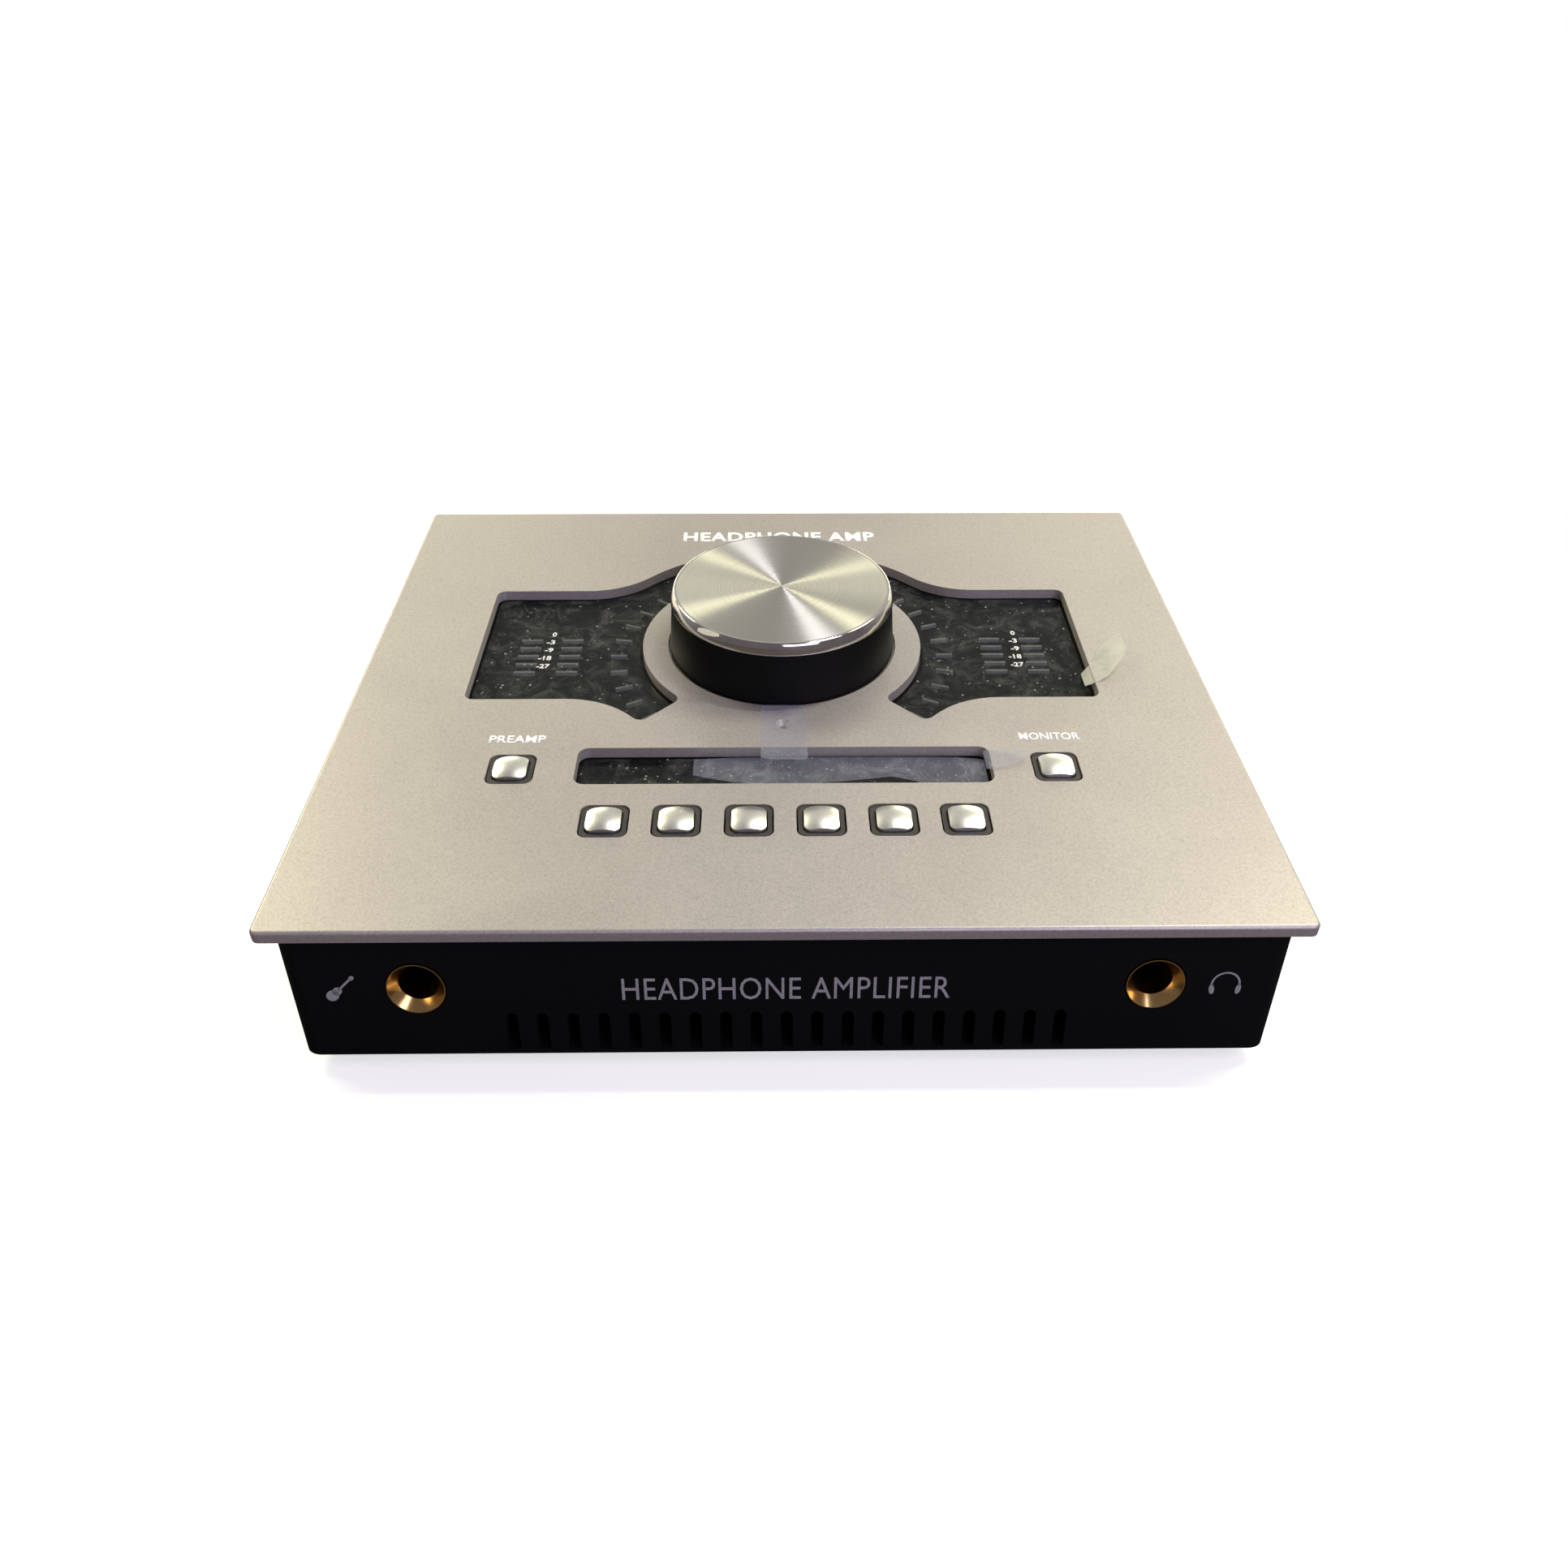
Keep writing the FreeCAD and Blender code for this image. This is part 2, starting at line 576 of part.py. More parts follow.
def make_buttons():
    bezels = []
    switches = []
    for name, (x, y) in BUTTONS.items():
        ring_tall = size("sizes.bezel_top") - TRAY_TOP
        outer = rounded_block(f"{name}_bezel", DECK, (x, y, TRAY_TOP), "sizes.bezel_side",
                              "sizes.bezel_side", ring_tall, "sizes.hole_corner - 0.2")
        inner = rounded_block(f"{name}_bezel_way", DECK, (x, y, TRAY_TOP - 1), "sizes.bezel_inner",
                              "sizes.bezel_inner", ring_tall + 2, "sizes.cap_corner")
        bezels.append(cut(f"{name}_ring", outer, inner))
        low = size("sizes.cap_low")
        block = rounded_block(f"{name}_cap", DECK, (x, y, low), "sizes.cap_side", "sizes.cap_side",
                              "sizes.dome_top - sizes.cap_low + 1", "sizes.cap_corner")
        dome = doc.addObject("Part::Sphere", f"{name}_dome")
        bind(dome, "Radius", "sizes.dome_radius")
        dome.Placement = at(DECK, x, y, size("sizes.dome_top - sizes.dome_radius"))
        cap = common(f"{name}_pillow", block, dome)
        stem = rod(f"{name}_stem", DECK, (x, y, size("sizes.stem_low")), "sizes.stem_radius",
                   "sizes.cap_low - sizes.stem_low + 0.5")
        keep(fuse(name, cap, stem), name)
        switch = centred_box(f"{name}_switch", DECK, (x, y, BOARD_TOP), "sizes.switch_side",
                             "sizes.switch_side", size("sizes.switch_top") - BOARD_TOP)
        well = rod(f"{name}_well", DECK, (x, y, size("sizes.stem_low") - 0.9),
                   "sizes.stem_radius + 0.15", 4)
        switches.append(cut(f"{name}_switch_body", switch, well))
    keep(group("button_bezels", bezels), "button_bezels")
    keep(group("button_switches", switches), "button_switches")


# ---------------------------------------------------------------- knob and encoder

def make_knob():
    centre = at(DECK, y=KNOB_BACK)
    gap, top = size("sizes.knob_gap"), size("sizes.skirt_top")
    radius, wall = size("sizes.knob_radius"), size("sizes.skirt_wall")
    roof, post = size("sizes.skirt_roof"), size("sizes.post_radius")
    hub, low, foot = (size(f"sizes.{name}") for name in ("hub_radius", "hub_low", "skirt_foot"))
    spigot, deep = size("sizes.spigot_radius"), size("sizes.spigot_deep")
    keep(revolved("knob_skirt", centre, [
        (hub, low), (post, low), (post, roof), (radius - wall, roof), (radius - wall, gap),
        (foot - 0.2, gap), (foot, gap + 0.2), (radius, top), (spigot + 0.05, top),
        (spigot + 0.05, top - deep), (hub, top - deep)]), "knob_skirt")
    cap, face, crown = (size(f"sizes.{name}") for name in ("cap_radius", "face_radius", "cap_top"))
    rim = 0.25
    keep(revolved("knob_cap", centre, [
        (0, top - deep), (spigot, top - deep), (spigot, top), (cap - rim, top), (cap, top + rim),
        (face, crown - rim / 2), (face - rim, crown), (0, crown)]), "knob_cap")
    shaft = size("sizes.shaft_radius")
    keep(revolved("knob_hub", centre, [
        (shaft, low), (hub, low), (hub, top - deep), (shaft, top - deep)]), "knob_hub")
    travel = size("sizes.press_travel + sizes.plunger_tall + 0.3")
    shaft_low = size("sizes.encoder_low") + travel + size("sizes.run_gap")
    shaft_top = top - deep
    keep(rod("encoder_shaft", centre, (0, 0, shaft_low), "sizes.shaft_radius",
             shaft_top - shaft_low), "encoder_shaft")
    plunger_low = shaft_low - size("sizes.run_gap + sizes.plunger_tall")
    keep(rod("encoder_plunger", centre, (0, 0, plunger_low), "sizes.shaft_radius - sizes.run_gap",
             "sizes.plunger_tall"), "encoder_plunger")


def make_encoder():
    centre = at(DECK, y=KNOB_BACK)
    top, low = size("sizes.encoder_top"), size("sizes.encoder_low")
    bore = size("sizes.shaft_radius + sizes.run_gap")
    block = centred_box("encoder_block", centre, (0, 0, low), "sizes.encoder_side",
                        "sizes.encoder_side", top - low)
    way = rod("encoder_way", centre, (0, 0, low), bore, top - low)
    keep(cut("encoder_body", block, way), "encoder_body")
    crown, outer = size("sizes.bushing_top"), size("sizes.bushing_radius")
    keep(revolved("encoder_bushing", centre, [
        (bore, top), (outer, top), (outer, crown - 0.3), (outer - 0.3, crown), (bore, crown)]),
        "encoder_bushing")
    washer, thick = size("sizes.washer_radius"), size("sizes.washer_thick")
    clear = outer + 0.02
    keep(revolved("encoder_washer", centre, [
        (clear, 0), (washer, 0), (washer, thick), (clear, thick)]), "encoder_washer")
    nut = revolved("encoder_nut_ring", centre, [
        (clear, thick), (washer - 0.4, thick), (washer - 0.4, thick + 1.6),
        (washer - 0.8, thick + size("sizes.nut_tall")), (clear, thick + size("sizes.nut_tall"))])
    across = size("sizes.washer_radius") * 1.72
    flats = [box(f"nut_flat_{turn}", at(centre, axis=Vector(0, 0, 1), turn=turn),
                 (-across, -across / 2, 0), 2 * across, across, 4) for turn in (0, 60, 120)]
    hexagon = common("nut_hexagon", common("nut_two_flats", flats[0], flats[1]), flats[2])
    keep(common("encoder_nut", nut, hexagon), "encoder_nut")


def make_microphone():
    top = TRAY_TOP - size("sizes.carrier_thick")
    tall = size("sizes.mic_tall")
    keep(rod("talkback_mic", DECK, (0, size("sizes.mic_back"), top - tall), "sizes.mic_radius",
             tall), "talkback_mic")


# ---------------------------------------------------------------- tray, base and fasteners

def make_wedge(name, inset, rear, level, corner):
    """Tapered block of the tray's outer form, or of its hollow, cut level at its base."""
    drop = size("sizes.tray_drop")
    low = TRAY_TOP - drop
    taper = doc.addObject("Part::Wedge", f"{name}_taper")
    taper.Ymin, taper.Ymax = 0, drop
    taper.Xmax, taper.X2max = side_face(TRAY_TOP) - inset, side_face(low) - inset
    taper.Xmin, taper.X2min = -taper.Xmax, -taper.X2max
    taper.Zmin, taper.Z2min = front_face(TRAY_TOP) + inset, front_face(low) + inset
    taper.Zmax, taper.Z2max = rear, rear
    taper.Placement = at(DECK, z=TRAY_TOP, axis=X_AXIS, turn=-90)
    smooth = rounded(f"{name}_rounded", taper, corner, lambda edge: drop < edge.Length < drop * 1.1)
    wide = size("sizes.deck_width") + 40
    ground = centred_box(f"{name}_ground", FLOOR, (0, 0, level - 60), wide, 2 * wide, 60)
    return cut(name, smooth, ground)


def vent_outlines():
    """Tall slots with round tops, drawn in X and Z of the deck frame."""
    half, top = size("sizes.vent_wide") / 2, size("sizes.vent_top")
    sill = deck_level(front_face(top - 8), BASE_LEVEL) + size("sizes.vent_sill")
    count = int(size("sizes.vent_count"))
    bow = [math.radians(angle) for angle in range(0, 181, 30)]
    outlines = []
    for number in range(count):
        x = (number - (count - 1) / 2) * size("sizes.vent_pitch")
        crown = [(x + half * math.cos(turn), top - half + half * math.sin(turn)) for turn in bow]
        outlines.append([(x + half, sill), *crown, (x - half, sill)])
    return outlines


def make_tray():
    outer = make_wedge("tray_outer", 0.0, REAR_FACE, BASE_LEVEL, "sizes.tray_corner")
    hollow = make_wedge("tray_hollow", size("sizes.tray_wall"), REAR_FACE + 30,
                        BASE_LEVEL + size("sizes.tray_floor"), 1.2)
    shell = cut("tray_shell", outer, hollow)
    limit = make_wedge("tray_limit", 0.5, REAR_FACE - 0.2, BASE_LEVEL + 0.5, 1.2)
    posts = []
    holes = []
    for number, (x, y) in enumerate(PILLARS):
        base = deck_level(y, BASE_LEVEL)
        posts.append(rod(f"pillar_{number}", DECK, (x, y, base - 4), "sizes.pillar_radius",
                         TRAY_TOP - base + 4))
        holes.append(rod(f"pillar_bore_{number}", DECK, (x, y, base - 4),
                         "sizes.screw_radius + 0.15", TRAY_TOP - base + 8))
        holes.append(rod(f"pillar_sink_{number}", DECK, (x, y, base - 6),
                         "sizes.head_radius + 0.2", size("sizes.head_tall") + 10))
    boss_long = size("sizes.boss_long")
    for number, (x, z) in enumerate(panel_screw_spots()):
        posts.append(rod(f"panel_boss_{number}", DECK, (x, PANEL_FRONT, z), "sizes.boss_radius",
                         boss_long, X_AXIS, 90))
        posts.append(centred_box(f"panel_web_{number}", DECK,
                                 (x + math.copysign(4, x), PANEL_FRONT - boss_long / 2, z - 1.5),
                                 8, boss_long, 3))
        holes.append(rod(f"panel_thread_{number}", DECK, (x, PANEL_FRONT + 1, z),
                         "sizes.screw_radius + 0.05", boss_long - 1, X_AXIS, 90))
    posts = common("tray_posts", fuse("all_posts", *posts), limit)
    solid = fuse("tray_solid", shell, posts)
    vents = extruded("vent_tool", at(DECK, y=front_face(size("sizes.vent_top")) - 8,
                                     axis=X_AXIS, turn=90), vent_outlines(), 0,
                     "sizes.vent_deep + 9")
    holes.append(vents)
    for side, name in ((-1, "left"), (1, "right")):
        holes.append(rod(f"{name}_jack_hole", jack_frame(side), (0, 8, 0), "sizes.jack_hole", 16,
                         X_AXIS, 90))
    keep(cut("chassis_tray", solid, *holes), "chassis_tray")


def panel_screw_spots():
    """X and Z of the four screws that hold the rear panel."""
    spots = []
    for side in (-1, 1):
        for height in (-10.0, -48.0):
            reach = side_face(height) - size("sizes.tray_wall + sizes.boss_radius")
            spots.append((side * reach, height))
    return spots


def make_screws():
    case = []
    for number, (x, y) in enumerate(PILLARS):
        seat = deck_level(y, BASE_LEVEL) + 4
        head = rod(f"case_head_{number}", DECK, (x, y, seat - size("sizes.head_tall")),
                   "sizes.head_radius", "sizes.head_tall")
        shank = rod(f"case_shank_{number}", DECK, (x, y, seat), "sizes.screw_radius",
                    TRAY_TOP - seat + size("sizes.screw_up"))
        socket = rod(f"case_socket_{number}", DECK, (x, y, seat - size("sizes.head_tall")), 1.2, 1.2)
        case.append(cut(f"case_screw_{number}", fuse(f"case_solid_{number}", head, shank), socket))
    keep(group("case_screws", case), "case_screws")
    rear = []
    for number, (x, z) in enumerate(panel_screw_spots()):
        head = rod(f"panel_head_{number}", DECK, (x, REAR_FACE + 1.6, z), "sizes.head_radius", 1.6,
                   X_AXIS, 90)
        shank = rod(f"panel_shank_{number}", DECK, (x, REAR_FACE, z), "sizes.screw_radius", 8,
                    X_AXIS, 90)
        socket = rod(f"panel_socket_{number}", DECK, (x, REAR_FACE + 1.7, z), 1.2, 1.1, X_AXIS, 90)
        rear.append(cut(f"panel_screw_{number}", fuse(f"panel_solid_{number}", head, shank), socket))
    keep(group("panel_screws", rear), "panel_screws")


def make_feet():
    feet = []
    for number, (x, y) in enumerate([(side * 58.0, back) for side in (-1, 1)
                                     for back in (-46.0, 60.0)]):
        radius, tall = size("sizes.foot_radius"), size("sizes.foot_tall")
        foot = doc.addObject("Part::Cone", f"foot_{number}")
        foot.Radius1 = radius - 0.8
        foot.Radius2 = radius
        bind(foot, "Height", "sizes.foot_tall")
        foot.Placement = at(FLOOR, x, y, 0)
        feet.append(foot)
    keep(group("feet", feet), "feet")


# ---------------------------------------------------------------- front sockets

def make_front_jacks():
    rim, lip, proud = (size(f"sizes.rim_{name}") for name in ("radius", "lip", "proud"))
    plug, deep = size("sizes.plug_radius"), size("sizes.rim_deep")
    long = size("sizes.bushing_long")
    setback = size("sizes.tray_wall") + 0.3
    for side, name in ((-1, "instrument"), (1, "headphone")):
        frame = jack_frame(side)
        outward = at(frame, axis=X_AXIS, turn=90)
        bushing = f"{name}_jack_bushing"
        keep(revolved(bushing, outward, [
            (plug, -long), (rim, -long), (rim, proud), (rim - lip, proud),
            (plug, proud - deep)]), bushing)
        block = box(f"{name}_jack_block", frame, (-size("sizes.jack_body_wide") / 2, setback,
                                                  -size("sizes.jack_body_tall") / 2),
                    "sizes.jack_body_wide", "sizes.jack_body_long", "sizes.jack_body_tall")
        seat = rod(f"{name}_jack_seat", outward, (0, 0, -long - 0.05),
                   "sizes.rim_radius + 0.1", long + 1)
        way = rod(f"{name}_jack_way", outward, (0, 0, -setback - size("sizes.jack_body_long") + 2),
                  "sizes.plug_radius", "sizes.jack_body_long")
        keep(cut(f"{name}_jack_body", block, seat, way), f"{name}_jack_body")


# ---------------------------------------------------------------- rear panel and connectors

COMBOS = {"left": -52.5, "right": -24.0}
LINE_JACKS = [(x, -size(row)) for x in (2.0, 20.0) for row in ("sizes.row_high", "sizes.row_low")]
DIGITAL_X = 39.0
POWER_X = 57.0
ROW_HIGH = -size("sizes.row_high")
ROW_LOW = -size("sizes.row_low")
LATCH_LOW = size("sizes.combo_radius - sizes.combo_down") + 1.2


def rear_rod(name, x, z, start, radius, length):
    """Cylinder along -Y of the deck frame, starting at a Y behind the panel."""
    return rod(name, DECK, (x, start, z), radius, length, X_AXIS, 90)


def make_rear_panel():
    body = new_body("rear_panel_body", DECK)
    gap = size("sizes.panel_gap")
    inset = size("sizes.tray_wall") + gap
    low = deck_level(PANEL_FRONT, BASE_LEVEL + size("sizes.tray_floor")) + gap
    top = TRAY_TOP - gap
    sketch = sketch_in(body, "panel_outline", "XZ_Plane", -REAR_FACE)
    draw_polygon(sketch, [(-side_face(top) + inset, top), (side_face(top) - inset, top),
                          (side_face(low) - inset, low), (-side_face(low) + inset, low)])
    pad(body, sketch, "sizes.panel_thick")
    doc.recompute()
    tools = []
    start = REAR_FACE + 3
    for name, x in COMBOS.items():
        tools.append(rear_rod(f"{name}_combo_way", x, -size("sizes.combo_down"), start,
                              "sizes.combo_body + 0.1", 8))
        tools.append(centred_box(f"{name}_latch_way", DECK, (x, REAR_FACE, LATCH_LOW),
                                 "sizes.latch_wide + 0.3", 8, "sizes.latch_tall + 0.3"))
    for number, (x, z) in enumerate(LINE_JACKS):
        tools.append(rear_rod(f"line_way_{number}", x, z, start, "sizes.line_nose + 0.1", 8))
    side = size("sizes.optical_side") + 0.2
    tools.append(centred_box("optical_way", DECK, (DIGITAL_X, REAR_FACE, ROW_HIGH - side / 2),
                             side, 8, side))
    tools.append(centred_box("usb_way", DECK,
                             (DIGITAL_X, REAR_FACE, ROW_LOW - size("sizes.usb_tall / 2 + 0.1")),
                             "sizes.usb_wide + 0.2", 8, "sizes.usb_tall + 0.2"))
    tools.append(rear_rod("inlet_way", POWER_X, ROW_LOW, start, "sizes.inlet_radius + 0.1", 8))
    tall = size("sizes.rocker_tall + 2 * sizes.rocker_frame")
    tools.append(centred_box("rocker_way", DECK, (POWER_X, REAR_FACE, ROW_HIGH - tall / 2 + 0.9),
                             "sizes.rocker_wide + 2 * sizes.rocker_frame - 1.8", 8, tall - 1.8))
    tools.append(centred_box("lock_way", DECK,
                             (-70.0, REAR_FACE, ROW_HIGH - 6 - size("sizes.lock_tall / 2")),
                             3, 8, "sizes.lock_wide"))
    for number, (x, z) in enumerate(panel_screw_spots()):
        tools.append(rear_rod(f"panel_way_{number}", x, z, start, "sizes.screw_radius + 0.2", 8))
    keep(cut("rear_panel", body, *tools), "rear_panel")


def make_combos():
    z = -size("sizes.combo_down")
    plate = size("sizes.combo_plate")
    face = REAR_FACE + plate
    for name, x in COMBOS.items():
        flange = centred_box(f"{name}_combo_flange", DECK,
                             (x, REAR_FACE + plate / 2, z - size("sizes.combo_tall") / 2),
                             "sizes.combo_wide", plate, "sizes.combo_tall")
        barrel = rear_rod(f"{name}_combo_barrel", x, z, REAR_FACE + 0.1, "sizes.combo_body",
                          REAR_FACE + 0.1 - IO_BACK)
        well = rear_rod(f"{name}_combo_well", x, z, face + 1, "sizes.combo_radius",
                        size("sizes.combo_deep") + 1)
        slot = centred_box(f"{name}_latch_slot", DECK, (x, REAR_FACE + 0.9, LATCH_LOW),
                           "sizes.latch_wide + 0.3", 8, "sizes.latch_tall + 0.3")
        shell = fuse(f"{name}_combo_solid", flange, barrel)
        keep(cut(f"{name}_combo_socket", shell, well, slot), f"{name}_combo_socket")
        core = rear_rod(f"{name}_combo_core", x, z, face - 1.0, "sizes.combo_radius - 1.6",
                        size("sizes.combo_deep") - 1)
        plug = rear_rod(f"{name}_combo_plug", x, z, face, "sizes.plug_radius", 20)
        pins = [rear_rod(f"{name}_combo_pin_{turn}", x + 4.9 * math.sin(math.radians(turn)),
                         z + 4.9 * math.cos(math.radians(turn)), face + 1, 1.3, 13)
                for turn in (-60, 60, 180)]
        keep(cut(f"{name}_combo_insert", core, plug, *pins), f"{name}_combo_insert")
        latch = centred_box(f"{name}_latch_block", DECK,
                            (x, face - 1 + size("sizes.latch_proud") / 2, LATCH_LOW + 0.15),
                            "sizes.latch_wide", size("sizes.latch_proud") + 2, "sizes.latch_tall")
        keep(latch, f"{name}_combo_latch")


def make_line_jacks():
    bodies = []
    nuts = []
    body_side = size("sizes.line_body")
    nose_tip = REAR_FACE + size("sizes.line_proud")
    for number, (x, z) in enumerate(LINE_JACKS):
        block = centred_box(f"line_block_{number}", DECK,
                            (x, (PANEL_FRONT + IO_BACK) / 2, z - body_side / 2), body_side,
                            PANEL_FRONT - IO_BACK, body_side)
        nose = rear_rod(f"line_nose_{number}", x, z, nose_tip, "sizes.line_nose",
                        size("sizes.line_proud + sizes.panel_thick") + 1)
        way = rear_rod(f"line_bore_{number}", x, z, nose_tip + 1, "sizes.line_bore",
                       "sizes.line_bore_long + 1")
        bodies.append(cut(f"line_jack_{number}", fuse(f"line_solid_{number}", block, nose), way))
        ring = rear_rod(f"line_nut_ring_{number}", x, z, REAR_FACE + size("sizes.line_nut_thick"),
                        "sizes.line_nut", "sizes.line_nut_thick")
        middle = rear_rod(f"line_nut_way_{number}", x, z, REAR_FACE + 5,
                          "sizes.line_nose + 0.03", 8)
        nuts.append(cut(f"line_nut_{number}", ring, middle))
    keep(group("line_jacks", bodies), "line_jacks")
    keep(group("line_jack_nuts", nuts), "line_jack_nuts")


def make_optical():
    side, mouth = size("sizes.optical_side"), size("sizes.optical_mouth")
    proud, deep = size("sizes.optical_proud"), size("sizes.optical_deep")
    face = REAR_FACE + proud
    block = centred_box("optical_block", DECK,
                        (DIGITAL_X, (face + IO_BACK) / 2, ROW_HIGH - side / 2), side,
                        face - IO_BACK, side)
    way = centred_box("optical_mouth", DECK,
                      (DIGITAL_X, face + 1 - deep / 2 - 0.5, ROW_HIGH - mouth / 2), mouth,
                      deep + 1, mouth)
    keep(cut("optical_socket", block, way), "optical_socket")
    gap, thick = size("sizes.flap_gap"), size("sizes.flap_thick")
    flap = mouth - 2 * gap
    keep(centred_box("optical_flap", DECK,
                     (DIGITAL_X, face - size("sizes.flap_sink") - thick / 2, ROW_HIGH - flap / 2),
                     flap, thick, flap),
         "optical_flap")


def make_usb():
    wide, tall, wall = (size(f"sizes.usb_{name}") for name in ("wide", "tall", "wall"))
    deep = size("sizes.usb_deep")
    along_y = upright(at(FLOOR, axis=X_AXIS, turn=TILT + 90))
    middle_y = (REAR_FACE + 0.4 + IO_BACK) / 2
    outer = rounded("usb_outer", centred_box("usb_block", DECK,
                                             (DIGITAL_X, middle_y, ROW_LOW - tall / 2), wide,
                                             REAR_FACE + 0.4 - IO_BACK, tall), tall * 0.46, along_y)
    inner_tall = tall - 2 * wall
    inner = rounded("usb_inner", centred_box("usb_hollow", DECK,
                                             (DIGITAL_X, REAR_FACE + 1 - deep / 2,
                                              ROW_LOW - inner_tall / 2), wide - 2 * wall, deep + 1,
                                             inner_tall), inner_tall * 0.46, along_y)
    tongue = centred_box("usb_tongue", DECK, (DIGITAL_X, REAR_FACE - deep / 2 - 0.5,
                                              ROW_LOW - 0.35), 6.6, deep, 0.7)
    keep(fuse("usb_socket", cut("usb_shell", outer, inner), tongue), "usb_socket")


def make_inlet():
    face = REAR_FACE + 1.0
    barrel = rear_rod("inlet_barrel", POWER_X, ROW_LOW, face, "sizes.inlet_radius", face - IO_BACK)
    tools = [rear_rod("inlet_well", POWER_X, ROW_LOW, face + 1, "sizes.inlet_bore",
                      "sizes.inlet_deep + 1")]
    spread = size("sizes.inlet_bore") / 2
    for number, (side, rise) in enumerate(((-1, -1), (-1, 1), (1, -1), (1, 1))):
        tools.append(rear_rod(f"inlet_contact_{number}", POWER_X + side * spread,
                              ROW_LOW + rise * spread, face + 1, "sizes.inlet_pin",
                              "sizes.inlet_deep + 6"))
    keep(cut("power_inlet", barrel, *tools), "power_inlet")


def make_power_switch():
    wide, tall, frame = (size(f"sizes.rocker_{name}") for name in ("wide", "tall", "frame"))
    face = REAR_FACE + 1.2
    flange = centred_box("rocker_flange", DECK, (POWER_X, face - 0.6, ROW_HIGH - tall / 2 - frame),
                         wide + 2 * frame, 1.2, tall + 2 * frame)
    block = centred_box("rocker_block", DECK,
                        (POWER_X, (REAR_FACE + IO_BACK) / 2, ROW_HIGH - tall / 2 - 1),
                        wide + 2, REAR_FACE - IO_BACK, tall + 2)
    hollow = centred_box("rocker_hollow", DECK, (POWER_X, face - 4, ROW_HIGH - tall / 2),
                         wide, 12, tall)
    keep(cut("power_switch_frame", fuse("rocker_housing", flange, block), hollow),
         "power_switch_frame")
    wheel = rod("rocker_wheel", at(DECK, POWER_X - wide / 2 + 0.2, face - 1.5, ROW_HIGH,
                                   Y_AXIS, 90), (0, 0, 0), tall / 2 - 0.25, wide - 0.4)
    rest = at(DECK, POWER_X, face - 1.5, ROW_HIGH, X_AXIS, size("sizes.rocker_tilt"))
    slab = centred_box("rocker_slab", rest, (0, 0, -tall / 2), wide, 5.0, tall)
    keep(common("power_rocker", wheel, slab), "power_rocker")


# ---------------------------------------------------------------- boards

def make_boards():
    thick = "sizes.board_thick"
    board_low = BOARD_TOP - size(thick)
    front, back = size("sizes.board_front"), size("sizes.board_back")
    ui_block = centred_box("ui_block", DECK, (0, (front + back) / 2, board_low),
                           "sizes.board_width", back - front, thick)
    ui_way = centred_box("ui_way", DECK, (0, KNOB_BACK, board_low - 1),
                         "sizes.encoder_side + 0.4", "sizes.encoder_side + 0.4", 4)
    keep(cut("ui_board", ui_block, ui_way), "ui_board")
    front, back = size("sizes.main_front"), size("sizes.main_back")
    level = size("sizes.main_low")
    keep(centred_box("main_board", FLOOR, (0, (front + back) / 2, level), "sizes.main_width",
                     back - front, thick), "main_board")
    top, low = size("sizes.io_top"), size("sizes.io_low")
    keep(centred_box("connector_board", DECK, (0, IO_BACK - size(thick) / 2, low),
                     "sizes.io_width", thick, top - low), "connector_board")
    floor_top = BASE_LEVEL + size("sizes.tray_floor")
    spacers = [rod(f"spacer_{number}", FLOOR, (x, y, floor_top), "sizes.spacer_radius",
                   level - floor_top)
               for number, (x, y) in enumerate([(side * 58, y) for side in (-1, 1)
                                                for y in (front + 6, back - 6)])]
    keep(group("board_spacers", spacers), "board_spacers")
    top = level + size(thick)
    spots = ((-26, -14), (26, -14))
    chips = [centred_box(f"chip_{number}", FLOOR, (x, y, top), "sizes.chip_side",
                         "sizes.chip_side", "sizes.chip_tall")
             for number, (x, y) in enumerate(spots)]
    keep(group("processor_chips", chips), "processor_chips")
    sinks = []
    for number, (x, y) in enumerate(spots):
        foot = top + size("sizes.chip_tall")
        plates = [centred_box(f"sink_base_{number}", FLOOR, (x, y, foot), "sizes.sink_side",
                              "sizes.sink_side", "sizes.sink_base")]
        for step in range(-4, 5):
            plates.append(centred_box(f"fin_{number}_{step + 4}", FLOOR,
                                      (x + step * size("sizes.fin_pitch"), y,
                                       foot + size("sizes.sink_base") - 0.1),
                                      "sizes.fin_thick", "sizes.sink_side", "sizes.fin_tall"))
        sinks.append(fuse(f"heat_sink_{number}", *plates))
    keep(group("heat_sinks", sinks), "heat_sinks")
    cans = [rod(f"can_{number}", FLOOR, (x, 28, top), "sizes.can_radius", "sizes.can_tall")
            for number, x in enumerate(range(-45, 46, 18))]
    keep(group("power_capacitors", cans), "power_capacitors")
    ribbon_back = size("sizes.ribbon_back")
    under_board = (size("sizes.deck_height") + board_low / math.cos(math.radians(TILT))
                   + ribbon_back * math.tan(math.radians(TILT)))
    keep(centred_box("ribbon_cable", FLOOR, (0, ribbon_back, top), "sizes.ribbon_wide",
                     "sizes.ribbon_thick", under_board - top - 0.1), "ribbon_cable")


# ---------------------------------------------------------------- build, check and write

for make in (make_top_plate, make_carrier, make_display, make_guides, make_buttons, make_knob,
             make_encoder, make_microphone, make_tray, make_screws, make_feet, make_front_jacks,
             make_rear_panel, make_combos, make_line_jacks, make_optical, make_usb, make_inlet,
             make_power_switch, make_boards):
    make()
make_lens("left_meter_lens", -1)
make_lens("right_meter_lens", 1)
doc.recompute()

for item in doc.Objects:
    if "Invalid" in item.State or "Error" in item.State:
        raise RuntimeError(f"{item.Label} failed: {item.State}")
for item in parts:
    if item.Shape.isNull() or not item.Shape.isValid():
        raise RuntimeError(f"{item.Label} has no valid shape")

